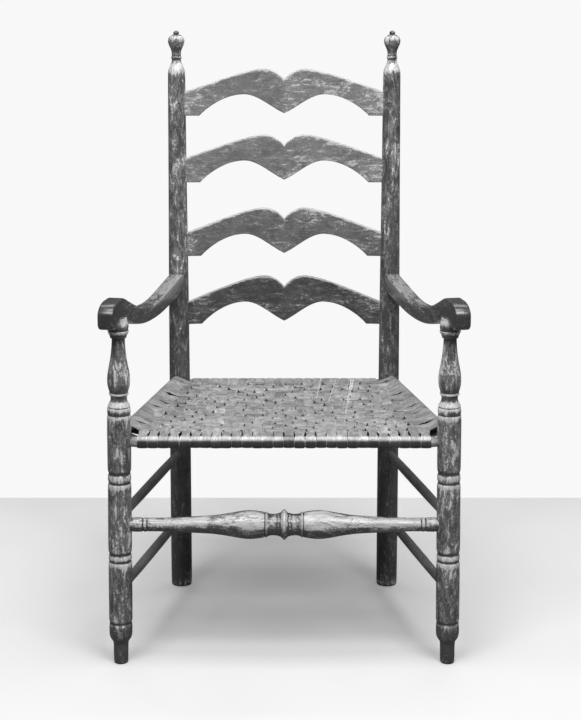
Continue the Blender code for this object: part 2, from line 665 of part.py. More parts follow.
class Seat:
    """The woven seat: places of the warp, gores and weft, worked out from the frame."""

    def __init__(self):
        self.wrap = RAIL_RADIUS + FIT + SPLINT_THICKNESS / 2
        self.top = SEAT_RAIL_HEIGHT + self.wrap
        self.bottom = SEAT_RAIL_HEIGHT - self.wrap
        self.offset = SPLINT_THICKNESS + FIT
        self.side_height = SEAT_RAIL_HEIGHT + SIDE_RAIL_RISE
        self.pitch = SPLINT_WIDTH + WARP_GAP
        self.row_pitch = SPLINT_WIDTH + WEFT_GAP
        self.depth = post_axis(False, 1, SEAT_RAIL_HEIGHT).y
        self.place_warp()
        self.place_weft()
        self.place_gores()

    def place_warp(self):
        """As many turns of the warp as fit between the rear posts."""
        inner = post_axis(False, 1, SEAT_RAIL_HEIGHT).x - post_radius(False, SEAT_RAIL_HEIGHT)
        self.turns = int((2 * (inner - WARP_EDGE) + WARP_GAP) // self.pitch)
        first = -(self.turns - 1) / 2
        self.warp = [(first + turn) * self.pitch for turn in range(self.turns)]

    def place_weft(self):
        """As many rows of weft as fit between the front posts and the rear posts."""
        last = self.depth - post_radius(False, self.side_height) - WARP_EDGE / 2
        self.rows = int((last - WEFT_START + WEFT_GAP) // self.row_pitch)
        self.row_places = [WEFT_START + SPLINT_WIDTH / 2 + row * self.row_pitch
                           for row in range(self.rows)]

    def place_gores(self):
        """Short strips beyond the warp, each ending between two rows, clear of the side rail."""
        post = post_axis(True, 1, SEAT_RAIL_HEIGHT).x
        limit = post - post_radius(True, SEAT_RAIL_HEIGHT) - GORE_BARE_END
        self.gores = []
        place = self.warp[-1] + self.pitch
        while place + SPLINT_WIDTH / 2 < limit:
            covered = [row for row, back in enumerate(self.row_places)
                       if side_rail_half(self.side_height, back + self.row_pitch / 2)
                       - place - SPLINT_WIDTH / 2 > GORE_CLEAR_OF_RAIL]
            self.gores.append((place, len(covered)))
            place += self.pitch

    def slant(self, back):
        """How far the underside strips have moved over by a place back from the front."""
        return self.pitch * back / self.depth

    def under_line(self, row):
        """Where an underside row starts at the right, and half the seat's width there."""
        start = self.row_places[0] + (row - 1) * self.row_pitch
        return start, side_rail_half(self.side_height, start)

    def under_back(self, row, across):
        """Place back of an underside row at a place across: it drifts one row on the way."""
        start, width = self.under_line(row)
        return start + self.row_pitch * (width - across) / (2 * width)

    def under_across(self, row, place):
        """Where an underside row meets a slanting strip that starts at a place in front."""
        start, width = self.under_line(row)
        drift = self.row_pitch / (2 * width)
        slope = self.pitch / self.depth
        return (place + slope * (start + self.row_pitch / 2)) / (1 + slope * drift)

    def gore_ends(self, side, index):
        """How far back a gore reaches on top and underneath, between two rows of weft."""
        place, covered = self.gores[index]
        top = self.row_places[0] + (covered - 1 / 2) * self.row_pitch
        last = round(covered * GORE_TAIL_SHARE)
        while last > 1 and self.tail_end(side, place, last) > self.depth / 2 - self.row_pitch:
            last -= 1
        return top, self.tail_end(side, place, last), last

    def tail_end(self, side, place, row):
        """The gap behind an underside row, where a gore's tail can end."""
        across = self.under_across(row, side * place)
        return self.under_back(row, across) + self.row_pitch / 2

    def top_strips(self, row):
        """Places of the strips that a top row crosses, with each strip's number."""
        strips = [(place, number) for number, place in enumerate(self.warp)]
        for number, (place, covered) in enumerate(self.gores):
            if covered > row:
                strips += [(place, self.turns + number), (-place, -1 - number)]
        return sorted(strips)

    def under_strips(self, row):
        """Places of the strips that an underside row crosses, from right to left."""
        strips = [(self.under_across(row, place), number)
                  for number, place in enumerate(self.warp[:-1])]
        half = SPLINT_WIDTH / 2
        right = self.under_across(row, self.warp[-1])
        if self.under_back(row, right) - half < self.depth / 2:
            strips.append((right, self.turns - 1))
        left = self.under_across(row, self.warp[0] - self.pitch)
        if self.under_back(row, left) + half > self.depth / 2:
            strips.append((left, -1))
        for index, (place, _) in enumerate(self.gores):
            if self.gore_ends(1, index)[2] >= row:
                strips.append((self.under_across(row, place), self.turns + index))
            if self.gore_ends(-1, index)[2] >= row:
                strips.append((self.under_across(row, -place), -1 - index))
        return sorted(strips, reverse=True)


def wrap_angles(first, last):
    """Angles of a strip's bends round a rail, in degrees."""
    step = 180 / WRAP_STEPS
    count = round(abs(last - first) / step)
    return [first + (last - first) * index / count for index in range(count + 1)]


def wind_warp(seat, name, first, last):
    """One splint of the warp: whole turns round both rails, spliced halfway underneath."""
    strip = Strip(runs_across=False)
    middle = seat.depth / 2
    start = seat.warp[first] - seat.pitch + seat.slant(middle)
    strip.add(middle + SPLICE_GAP / 2, seat.bottom, start)
    for turn in range(first, last):
        place = seat.warp[turn]
        for angle in wrap_angles(-90.0, 90.0):
            turned = math.radians(angle)
            strip.add(seat.depth + seat.wrap * math.cos(turned),
                      SEAT_RAIL_HEIGHT + seat.wrap * math.sin(turned), place)
        for angle in wrap_angles(90.0, -90.0):
            turned = math.radians(angle)
            strip.add(-seat.wrap * math.cos(turned),
                      SEAT_RAIL_HEIGHT + seat.wrap * math.sin(turned), place)
    end = seat.warp[last - 1] + seat.slant(middle)
    strip.add(middle - SPLICE_GAP / 2, seat.bottom, end)
    strip.make(name)


def hook_gore(seat, name, side, index):
    """A short splint hooked over the front rail, its ends in the weave."""
    place = side * seat.gores[index][0]
    top_end, bottom_end, _ = seat.gore_ends(side, index)
    strip = Strip(runs_across=False)
    strip.add(top_end, seat.top, place)
    for angle in wrap_angles(90.0, -90.0):
        turned = math.radians(angle)
        strip.add(-seat.wrap * math.cos(turned),
                  SEAT_RAIL_HEIGHT + seat.wrap * math.sin(turned), place)
    strip.add(bottom_end, seat.bottom, place + seat.slant(bottom_end))
    strip.make(name)


def top_state(row, number):
    """1 where a top row goes over a strip of the warp and -1 where it goes under."""
    return 1 if (number + row) % (2 * TWILL) < TWILL else -1


def under_state(row, number):
    """-1 where an underside row lies below a strip of the warp and 1 where above."""
    return -1 if (number - row) % (2 * UNDERSIDE_FLOAT) < UNDERSIDE_FLOAT else 1


class Weft(Strip):
    """One splint of the weft on its way through the seat."""

    def __init__(self, seat):
        super().__init__(runs_across=True)
        self.seat = seat
        front, rear = (side_rail_half(seat.side_height, back) for back in (0.0, seat.depth))
        self.flare = (rear - front) / seat.depth
        self.stretch = math.sqrt(1 + self.flare ** 2)
        self.edge = self.seat.pitch / 2
        self.skew = seat.pitch / seat.depth

    def rail_point(self, side, back, angle):
        """Where the strip's middle is on the side rail at an angle round it, in degrees."""
        turned = math.radians(angle)
        centre = side_rail_half(self.seat.side_height, back)
        reach = self.seat.wrap * self.stretch * math.cos(turned)
        return side * (centre + reach), self.seat.side_height + self.seat.wrap * math.sin(turned)

    def taut_angle(self, side, back, inner, height):
        """Where the strip first touches the rail on its way out from a point in the seat."""
        step = 180 / WRAP_STEPS
        sign = 1 if height > SEAT_RAIL_HEIGHT else -1
        run, rise = self.rail_point(side, back, sign * 90)
        slope = math.degrees(math.atan2(abs(rise - height), abs(run - inner)))
        if sign > 0:
            return 90 + step if slope > step / 2 else 90
        return -90 + step if slope > step / 2 else -90

    def round_rail(self, side, back, first, last):
        """Bend the strip round a side rail between two angles."""
        for angle in wrap_angles(first, last):
            run, height = self.rail_point(side, back, angle)
            self.add(run, height, back, side * self.flare)

    def cross(self, strips, height_at, back_at, skew, heading):
        """Carry the strip over and under, changing sides in the gaps between strips."""
        for (place, number), (next_place, next_number) in zip(strips, strips[1:]):
            before, after = height_at(number), height_at(next_number)
            if before == after:
                continue
            gap = (place + next_place) / 2
            for across, height in ((gap - heading * RAMP_HALF, before),
                                   (gap + heading * RAMP_HALF, after)):
                self.add(across, height, back_at(across), skew)

    def over_seat(self, row):
        """One row from the left rail over the seat and round the right rail."""
        seat = self.seat
        back = seat.row_places[row]
        strips = seat.top_strips(row)

        def height_at(number):
            return seat.top + seat.offset * top_state(row, number)

        left, right = strips[0][0] - self.edge, strips[-1][0] + self.edge
        left_height, right_height = height_at(strips[0][1]), height_at(strips[-1][1])
        self.round_rail(-1, back, self.low_angle, self.taut_angle(-1, back, left, left_height))
        self.add(left, left_height, back)
        self.cross(strips, height_at, lambda across: back, 0.0, 1)
        self.add(right, right_height, back)
        self.high_angle = self.taut_angle(1, back, right, right_height)

    def under_seat(self, row, part):
        """A row under the seat from right to left: whole, or one half of it to a splice."""
        seat = self.seat
        strips = seat.under_strips(row)
        splice = seat.turns // 2
        centre = seat.under_across(row, seat.warp[splice])

        def height_at(number):
            return seat.bottom + seat.offset * under_state(row, number)

        def back_at(across):
            return seat.under_back(row, across)

        if part == "right":
            strips = [item for item in strips if item[0] > centre - FIT]
        if part == "left":
            strips = [item for item in strips if item[0] < centre + FIT]
            self.add(centre - SPLICE_GAP / 2, height_at(splice), back_at(centre))
        else:
            start = seat.row_places[row - 1]
            across, height = strips[0][0] + self.edge, height_at(strips[0][1])
            self.round_rail(1, start, self.high_angle,
                            self.taut_angle(1, start, across, height))
            self.add(across, height, back_at(across), self.skew)
        self.cross(strips, height_at, back_at, self.skew, -1)
        if part == "right":
            self.add(centre + SPLICE_GAP / 2, height_at(splice), back_at(centre))
        else:
            across, height = strips[-1][0] - self.edge, height_at(strips[-1][1])
            self.add(across, height, back_at(across), self.skew)
            self.low_angle = self.taut_angle(-1, seat.row_places[row], across, height)


def weave_weft(seat, name, first, last):
    """One splint of the weft: whole turns through the warp and round the side rails."""
    strip = Weft(seat)
    strip.under_seat(first, "left")
    for row in range(first, last):
        strip.over_seat(row)
        strip.under_seat(row + 1, "whole" if row + 1 < last else "right")
    strip.make(name)


def make_seat():
    """The seat's splints: each long one makes a few turns, and the last what is left."""
    seat = Seat()
    for number, first in enumerate(range(0, seat.turns, TURNS_PER_SPLINT), 1):
        last = min(first + TURNS_PER_SPLINT, seat.turns)
        wind_warp(seat, f"warp_splint_{number}", first, last)
    for side, hand in ((-1, "left"), (1, "right")):
        for index in range(len(seat.gores)):
            hook_gore(seat, f"gore_splint_{hand}_{index + 1}", side, index)
    for number, first in enumerate(range(0, seat.rows, TURNS_PER_SPLINT), 1):
        last = min(first + TURNS_PER_SPLINT, seat.rows)
        weave_weft(seat, f"weft_splint_{number}", first, last)


def make_frame():
    """Posts, rungs, rails, slats, pegs and arms, each post cut by what goes into it."""
    posts = {(front, side): make_post(front, side)
             for front in (True, False) for side in (-1, 1)}
    holes = {key: bmesh.new() for key in posts}

    def fit_rung(name, start, end, height, end_radius, make_profile, sides):
        rung = Rung(start, end, height, end_radius)
        rung.make(name, make_profile(rung), sides)
        rung.bore(holes[start], True, sides)
        rung.bore(holes[end], False, sides)

    def rung_profile(rung):
        return plain_profile(rung, RUNG_RADIUS, (rung.last - rung.first) * RUNG_TAPER_SHARE)

    def rail_profile(rung):
        return plain_profile(rung, RAIL_RADIUS, RAIL_TAPER_LENGTH)

    def rear_rail_profile(rung):
        return plain_profile(rung, RAIL_RADIUS, WARP_EDGE / 2)

    fit_rung("front_stretcher", (True, -1), (True, 1), FRONT_STRETCHER_HEIGHT,
             STRETCHER_END_RADIUS, stretcher_profile, STRETCHER_SIDES)
    fit_rung("seat_rail_front", (True, -1), (True, 1), SEAT_RAIL_HEIGHT,
             RAIL_END_RADIUS, rail_profile, RAIL_SIDES)
    fit_rung("seat_rail_rear", (False, -1), (False, 1), SEAT_RAIL_HEIGHT,
             RAIL_END_RADIUS, rear_rail_profile, RAIL_SIDES)
    for side, hand in ((-1, "left"), (1, "right")):
        ends = (True, side), (False, side)
        fit_rung(f"seat_rail_{hand}", *ends, SEAT_RAIL_HEIGHT + SIDE_RAIL_RISE,
                 RAIL_END_RADIUS, rail_profile, RAIL_SIDES)
        fit_rung(f"side_stretcher_upper_{hand}", *ends, FRONT_STRETCHER_HEIGHT + UPPER_RUNG_RISE,
                 RUNG_END_RADIUS, rung_profile, RUNG_SIDES)
        fit_rung(f"side_stretcher_lower_{hand}", *ends, LOWER_RUNG_HEIGHT,
                 RUNG_END_RADIUS, rung_profile, RUNG_SIDES)
        merge_into(holes[(False, side)], make_arm(side))

    slats = [Slat(index) for index in range(len(SLAT_HEIGHTS))]
    for index, slat in enumerate(slats):
        board = slat.make(f"slat_{index + 1}")
        for side in (-1, 1):
            slat.mortise(holes[(False, side)], side)
        if index == 0:
            top_board = board

    for (front, side), post in posts.items():
        combine(post, add_cutter(f"{post.name}_mortises", holes[(front, side)]), "DIFFERENCE")

    peg_holes = bmesh.new()
    for side, hand in ((-1, "left"), (1, "right")):
        peg = bmesh.new()
        add_rod(peg, *peg_line(slats[0], side, -FIT), PEG_RADIUS, PEG_SIDES)
        add_part(f"slat_peg_{hand}", peg, PEG_WOOD)
        add_rod(peg_holes, *peg_line(slats[0], side, OVERRUN), PEG_RADIUS + FIT, PEG_SIDES)
    peg_cutter = add_cutter("peg_holes", peg_holes)
    for piece in (top_board, posts[(False, -1)], posts[(False, 1)]):
        combine(piece, peg_cutter, "DIFFERENCE")


def centre_on_floor():
    """Carry the whole chair on one empty, with its box centred over the origin."""
    bpy.context.view_layer.update()
    places = [part.matrix_world @ vertex.co for part in PARTS for vertex in part.data.vertices]
    backs = [place.y for place in places]
    chair = bpy.data.objects.new("chair", None)
    bpy.context.collection.objects.link(chair)
    pieces = [item for item in bpy.data.objects if item.type == "MESH"]
    for piece in pieces:
        placed = piece.matrix_world.copy()
        piece.parent = chair
        piece.matrix_local = placed
    chair.location = (0.0, -(min(backs) + max(backs)) / 2, 0.0)


def shade():
    """Smooth the turned pieces, with sharp edges kept."""
    for part in PARTS:
        if part.name.startswith(("front_", "rear_", "side_", "seat_rail")):
            part.data.shade_smooth()
            part.data.set_sharp_from_angle(angle=SMOOTH_BELOW)


for leftover in list(bpy.data.objects):
    bpy.data.objects.remove(leftover)
make_frame()
make_seat()
centre_on_floor()
shade()
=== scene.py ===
"""Looks of the slat-back armchair: fine turnings, shaped boards, woven splints and finishes.

Metres, +Z up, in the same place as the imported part. The chair faces -Y, its own right is +X.
"""

import json
import math

import bpy
from mathutils import Matrix, Vector, noise

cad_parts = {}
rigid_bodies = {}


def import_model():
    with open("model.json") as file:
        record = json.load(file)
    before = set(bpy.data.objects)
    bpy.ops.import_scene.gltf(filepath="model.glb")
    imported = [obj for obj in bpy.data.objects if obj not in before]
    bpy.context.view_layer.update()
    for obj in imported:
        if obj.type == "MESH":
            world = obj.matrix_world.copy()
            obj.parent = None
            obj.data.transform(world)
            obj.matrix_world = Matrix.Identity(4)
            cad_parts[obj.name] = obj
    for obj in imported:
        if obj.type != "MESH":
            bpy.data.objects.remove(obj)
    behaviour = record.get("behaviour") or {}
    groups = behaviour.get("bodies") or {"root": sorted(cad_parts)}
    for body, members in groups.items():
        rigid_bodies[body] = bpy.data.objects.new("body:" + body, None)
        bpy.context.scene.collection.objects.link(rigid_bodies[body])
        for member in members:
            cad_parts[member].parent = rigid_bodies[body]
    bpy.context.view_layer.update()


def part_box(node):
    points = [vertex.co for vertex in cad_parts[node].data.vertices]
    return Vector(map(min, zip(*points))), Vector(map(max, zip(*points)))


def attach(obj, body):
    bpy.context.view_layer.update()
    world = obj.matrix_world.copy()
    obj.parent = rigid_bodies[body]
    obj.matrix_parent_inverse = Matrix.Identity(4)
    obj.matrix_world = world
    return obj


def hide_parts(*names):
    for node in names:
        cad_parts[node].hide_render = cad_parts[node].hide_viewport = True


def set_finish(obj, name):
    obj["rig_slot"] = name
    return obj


for leftover in list(bpy.data.objects):
    bpy.data.objects.remove(leftover)
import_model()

# The part's own sizes: post spacings, seat depth and lean, heights, rises, radii, clearance
FRONT_HALF_SPAN_FOOT = 0.2968
FRONT_HALF_SPAN_TOP = 0.2902
REAR_HALF_SPAN_FOOT = 0.2100
REAR_HALF_SPAN_TOP = 0.2129
SEAT_DEPTH = 0.4096
BACK_LEAN = math.radians(4.0)
ARM_HEIGHT = 0.6410
SEAT_RAIL_HEIGHT = 0.4160
SIDE_RAIL_RISE = 0.0110
FRONT_STRETCHER_HEIGHT = 0.2623
UPPER_RUNG_RISE = 0.0132
LOWER_RUNG_HEIGHT = 0.1400
REAR_SHAFT_HEIGHT = 1.0335
FINIAL_HEIGHT = 0.0889
FRONT_POST_RADIUS = 0.0212
FRONT_RADIUS_AT_SEAT = 0.0210
REAR_RADIUS_AT_SEAT = 0.0206
STRETCHER_RADIUS = 0.0270
FIT = 0.0003

RAIL_LOW, RAIL_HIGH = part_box("seat_rail_front")
FRONT_PLANE = (RAIL_LOW.y + RAIL_HIGH.y) / 2

MM = 0.001
TINY = 1e-6
UP = Vector((0.0, 0.0, 1.0))
EDGE = "edge"
PIECES = []


def clamp(value, low=0.0, high=1.0):
    """A value kept between two others."""
    return max(low, min(high, value))


def eased(share):
    """0 to 1 with level ends."""
    share = clamp(share)
    return share * share * (3 - 2 * share)


def ripple(*place):
    """Smooth noise at a place, about -1 to 1."""
    return noise.noise(Vector(place))


def clear_selection():
    """Leave nothing selected, so that an operator acts on the new piece alone."""
    bpy.ops.object.select_all(action="DESELECT")


def pick(piece):
    """Select one piece alone."""
    clear_selection()
    piece.select_set(True)
    bpy.context.view_layer.objects.active = piece


def name_new(name):
    """The piece that an operator has just added, under its own name."""
    piece = bpy.context.object
    piece.name = piece.data.name = name
    return piece


def face_outwards():
    """In edit mode: turn every face outwards and leave edit mode."""
    bpy.ops.mesh.select_all(action="SELECT")
    bpy.ops.mesh.normals_make_consistent(inside=False)
    bpy.ops.object.mode_set(mode="OBJECT")


def select_parts(piece, kind, wanted):
    """Enter edit mode with only the wanted faces or edges of a piece selected."""
    bpy.ops.object.mode_set(mode="EDIT")
    bpy.ops.mesh.select_mode(type=kind)
    bpy.ops.mesh.select_all(action="DESELECT")
    bpy.ops.object.mode_set(mode="OBJECT")
    mesh = piece.data
    for part in mesh.polygons if kind == "FACE" else mesh.edges:
        part.select = wanted([mesh.vertices[corner].co for corner in part.vertices])
    bpy.ops.object.mode_set(mode="EDIT")


def stand(piece, placement):
    """Put a piece in its place, and that place in its mesh."""
    pick(piece)
    piece.matrix_world = placement
    bpy.ops.object.transform_apply()


def keep(mesh, name, kind, values):
    """Write a value for every point of a mesh, for its finish to read."""
    mesh.attributes.new(name, kind, "POINT")
    field = "vector" if kind == "FLOAT_VECTOR" else "value"
    mesh.attributes[name].data.foreach_set(field, values)


def smooth(piece, angle):
    """Smooth a piece's edges up to an angle in degrees, and list it for its finish."""
    bpy.ops.object.shade_smooth_by_angle(angle=math.radians(angle))
    PIECES.append(piece)


def post_axis(front, side, height):
    """A point on a post's axis: side is -1 for the chair's left and 1 for its right."""
    if front:
        share = height / ARM_HEIGHT
        half = FRONT_HALF_SPAN_FOOT + share * (FRONT_HALF_SPAN_TOP - FRONT_HALF_SPAN_FOOT)
        return Vector((side * half, FRONT_PLANE, height))
    share = height / (REAR_SHAFT_HEIGHT + FINIAL_HEIGHT)
    half = REAR_HALF_SPAN_FOOT + share * (REAR_HALF_SPAN_TOP - REAR_HALF_SPAN_FOOT)
    back = SEAT_DEPTH + (height - SEAT_RAIL_HEIGHT) * math.tan(BACK_LEAN)
    return Vector((side * half, FRONT_PLANE + back, height))


def aligned(start, direction, up):
    """A frame whose Z runs along a direction and whose X points up."""
    along = direction.normalized()
    across = along.cross(up).normalized()
    turned = Matrix((across.cross(along), across, along)).transposed()
    return Matrix.Translation(start) @ turned.to_4x4()


def slopes(points):
    """Slopes of a fair curve through points, level at every peak and hollow."""
    steps = [(b[1] - a[1]) / (b[0] - a[0]) for a, b in zip(points, points[1:])]
    result = [steps[0]]
    for before, after in zip(steps, steps[1:]):
        result.append(0.0 if before * after <= 0 else 2 * before * after / (before + after))
    return result + [steps[-1]]


def faired(points, finest=0.0016, most=7):
    """Carry a fair curve through (place, radius) points, broken at those marked as edges."""
    runs, run = [], [points[0][:2]]
    for point in points[1:]:
        run.append(point[:2])
        if EDGE in point[2:]:
            runs.append(run)
            run = [point[:2]]
    if len(run) > 1:
        runs.append(run)
    result = [points[0][:2]]
    for run in runs:
        tangents = slopes(run)
        for (start, low), (end, high), leave, arrive in zip(run, run[1:], tangents, tangents[1:]):
            span = end - start
            count = max(1, min(most, math.ceil(span / finest)))
            for step in range(1, count + 1):
                t = step / count
                radius = ((2 * t ** 3 - 3 * t ** 2 + 1) * low + (t ** 3 - 2 * t ** 2 + t) * span * leave
                          + (3 * t ** 2 - 2 * t ** 3) * high + (t ** 3 - t ** 2) * span * arrive)
                result.append((start + t * span, radius))
    return result


def read_off(table, place):
    """The value of a table of (place, value) at a place, by straight lines between them."""
    if place <= table[0][0]:
        return table[0][1]
    for (low, low_value), (high, high_value) in zip(table, table[1:]):
        if low <= place <= high and high > low:
            return low_value + (place - low) / (high - low) * (high_value - low_value)
    return table[-1][1]


def in_metres(points):
    """A profile written in millimetres, rounded so that no stray last digit adds a ring."""
    return [(round(place * MM, 6), round(radius * MM, 6), *rest) for place, radius, *rest in points]


# Turned and shaved pieces: how round they are, how far bars start from the posts' axes, and
# where paint is rubbed off, with painted highlight on faces tipped up and painted shade on faces tipped
# down
SIDES = 40
BAR_SIDES = 24
TURNING_WOBBLE = 0.006
TURNING_SMOOTH = 32.0
BAR_INSET = 0.0095
RUB_AND_HIGHLIGHT_FACING = Vector((0.0, -0.743, 0.669))
# How strongly shoulders get their rub together with painted highlight, and faces tipped down painted
# shade
SHOULDER_RUB_AND_LIGHT = 1.05
PROUD_REACHES = (-0.009, -0.006, -0.003, 0.003, 0.006, 0.009)
PROUD_FULL = 0.0016
SHOULDER_REACHES = (0.0, 0.0015, 0.003, 0.0045, 0.006)
SHOULDER_FADE = 0.0072
TIP_REACH = 0.0010
TIP_FULL = 0.0012
GROOVE_REACH = 0.0022
GROOVE_FULL = 0.0006
RUB_AND_HIGHLIGHT_START = 0.50
RUB_AND_HIGHLIGHT_SPAN = 0.44
RUB_AND_SHADE_OFFSET = 0.46


def raise_rings(name, profile, sides):
    """Turned shape: a disc extruded ring by ring along Z and resized to each radius."""
    clear_selection()
    start, radius = profile[0]
    bpy.ops.mesh.primitive_circle_add(vertices=sides, radius=radius, fill_type="NGON",
                                      location=(0.0, 0.0, start))
    piece = name_new(name)
    bpy.ops.object.mode_set(mode="EDIT")
    bpy.ops.mesh.select_mode(type="FACE")
    bpy.ops.mesh.select_all(action="SELECT")
    for place, following in profile[1:]:
        bpy.ops.mesh.extrude_region_move(
            TRANSFORM_OT_translate={"value": (0.0, 0.0, place - start)})
        scale = following / radius
        bpy.ops.transform.resize(value=(scale, scale, 1.0))
        start, radius = place, following
    face_outwards()
    bpy.ops.object.transform_apply()
    return piece


def out_of_round(piece, seed, amount):
    """A hand-turned piece is never quite round: ease its surface in and out a little."""
    for vertex in piece.data.vertices:
        place = vertex.co
        slow = ripple(place.x * 18, place.y * 18, place.z * 5 + seed)
        fine = ripple(place.x * 60, place.y * 60, place.z * 22 + seed * 3)
        scale = 1 + amount * slow + amount * 0.35 * fine
        vertex.co.x *= scale
        vertex.co.y *= scale


def faces_up(profile, place):
    """-1 to 1: how far a turning's surface tips towards its top at a place along it."""
    fall = read_off(profile, place - TIP_REACH) - read_off(profile, place + TIP_REACH)
    return clamp(fall / TIP_FULL, -1.0)


def ring_wear(profile, place, wear):
    """How bare a turning is: rings and shoulders rub, grooves keep their paint, faces tipped up near
    shoulders get a painted highlight and faces tipped down painted shade.
    """
    radius = read_off(profile, place)
    around = [read_off(profile, place + reach) for reach in PROUD_REACHES]
    proud = (radius - sum(around) / len(around)) / PROUD_FULL
    up = max(faces_up(profile, place + reach) * (1 - reach / SHOULDER_FADE)
             for reach in SHOULDER_REACHES)
    # Up-facing shoulders are paler, partly rub and partly painted highlight; down-facing faces are
    # painted darker as shade.
    facing_rub_and_light = up if up > 0.0 else 0.5 * faces_up(profile, place)
    beside = (read_off(profile, place - GROOVE_REACH) + read_off(profile, place + GROOVE_REACH)) / 2
    groove = clamp((beside - radius) / GROOVE_FULL)
    rub, shoulders = wear(place)
    return clamp(proud, -1.0, 0.6) * 0.6 + shoulders * facing_rub_and_light + rub - 0.9 * groove


def turned_piece(name, profile, placement, seed, wear, sides=SIDES, wobble=TURNING_WOBBLE,
                 above=0.0):
    """A turned piece in its place, each point's grain and wear kept for its finish.

    wear gives a place's own rubbing and its share of the shoulders' rubbing and painted light, and
    above is how much barer the side is that feet rub, which faces the light: the band there is partly
    rub and partly painted highlight, and the side away from it is painted darker as shade.
    """
    piece = raise_rings(name, profile, sides)
    out_of_round(piece, seed, wobble)
    turned = placement.to_3x3()
    shift = Vector((seed * 0.37, seed * 0.61, seed * 0.83))
    grain, worn, known = [], [], {}
    for vertex in piece.data.vertices:
        place = vertex.co
        grain.extend(place + shift)
        ring = round(place.z, 5)
        if ring not in known:
            known[ring] = ring_wear(profile, place.z, wear)
        outward = (turned @ Vector((place.x, place.y, 0.0))).normalized()
        # The side facing up and forward is paler, partly feet rub and partly painted highlight; taking
        # off the offset paints the side away from it darker as shade.
        rubbed = eased((outward.dot(RUB_AND_HIGHLIGHT_FACING) - RUB_AND_HIGHLIGHT_START) / RUB_AND_HIGHLIGHT_SPAN)
        worn.append(known[ring] + above * (rubbed - RUB_AND_SHADE_OFFSET))
    keep(piece.data, "grain", "FLOAT_VECTOR", grain)
    keep(piece.data, "worn", "FLOAT", worn)
    stand(piece, placement)
    smooth(piece, TURNING_SMOOTH)
    return piece


FRONT_POST = in_metres((
    (0, 11.2), (1.2, 12.4, EDGE), (4.0, 12.9), (15.0, 13.2), (30.0, 13.4), (39.0, 13.8),
    (42.5, 14.9), (46.5, 17.6), (51.0, 19.7), (57.0, 20.7), (65.0, 20.9), (73.0, 20.6),
    (76.2, 20.3, EDGE), (78.6, 18.8, EDGE), (80.8, 20.3, EDGE), (85.0, 21.0), (130.0, 21.2),
    (175.0, 21.1), (190.5, 21.0), (192.5, 20.6, EDGE), (195.2, 19.1, EDGE), (197.5, 20.0, EDGE),
    (201.0, 20.8), (204.5, 20.6), (207.2, 19.8, EDGE), (209.8, 18.9, EDGE), (212.5, 20.3, EDGE),
    (216.0, 21.0), (240.0, 21.3), (270.0, 21.2), (310.0, 21.0), (335.5, 20.9),
    (338.8, 20.6, EDGE), (341.8, 19.0, EDGE), (344.5, 20.0, EDGE), (349.0, 20.8), (354.0, 20.6),
    (357.0, 19.8, EDGE), (360.0, 18.8, EDGE), (363.2, 20.3, EDGE), (368.0, 20.9), (400.0, 21.1),
    (440.0, 21.2), (460.0, 21.1), (464.8, 20.8, EDGE), (466.2, 20.3, EDGE), (467.8, 19.4, EDGE),
    (469.4, 20.3, EDGE), (472.0, 20.7), (476.5, 20.6), (479.6, 20.1, EDGE), (481.2, 18.3, EDGE),
    (482.6, 19.9, EDGE), (485.0, 18.9), (489.0, 16.6), (493.0, 14.9), (497.0, 14.4),
    (500.5, 14.8), (503.0, 15.8, EDGE), (503.4, 17.0, EDGE), (505.0, 17.4), (506.5, 17.1, EDGE),
    (507.2, 16.2, EDGE), (511.0, 17.1), (517.0, 18.8), (524.0, 19.9), (531.0, 20.1),
    (540.0, 19.5), (552.0, 17.5), (566.0, 14.9), (580.0, 13.0), (592.0, 12.0), (601.0, 11.6),
    (605.6, 11.7, EDGE), (606.2, 14.3, EDGE), (608.5, 14.8), (612.0, 16.0), (615.5, 18.1),
    (618.0, 18.7, EDGE), (618.8, 17.6, EDGE), (620.5, 17.4, EDGE), (622.5, 17.9), (627.0, 18.4),
    (631.5, 18.1), (635.0, 16.9), (637.5, 16.0, EDGE), (640.7, 15.4, EDGE), (640.9, 7.2, EDGE),
    (662.0, 7.0, EDGE),
))

REAR_POST = in_metres((
    (0, 19.0), (2.0, 20.1, EDGE), (8.0, 20.8), (100.0, 21.1), (230.0, 21.1), (400.0, 20.6),
    (520.0, 20.2), (620.0, 19.7), (700.0, 19.1), (785.0, 18.5), (860.0, 18.0), (930.0, 17.7),
    (990.0, 17.3), (1025.0, 17.1), (1037.0, 16.9), (1044.0, 16.2), (1050.0, 14.3), (1056.0, 11.6),
    (1061.0, 9.7), (1065.5, 9.0), (1067.2, 9.0, EDGE), (1068.0, 10.1, EDGE), (1069.7, 10.5),
    (1071.2, 10.1, EDGE), (1072.0, 9.2, EDGE), (1076.0, 9.1), (1081.0, 9.4), (1086.0, 10.8),
    (1091.5, 13.2), (1097.0, 15.4), (1101.5, 16.3), (1106.0, 15.7), (1109.5, 13.9),
    (1112.2, 10.8), (1114.0, 7.4), (1115.0, 4.7, EDGE), (1116.2, 5.3), (1118.0, 5.7),
    (1119.8, 5.3), (1121.2, 3.7), (1122.1, 1.6), (1122.4, 0.4),
))

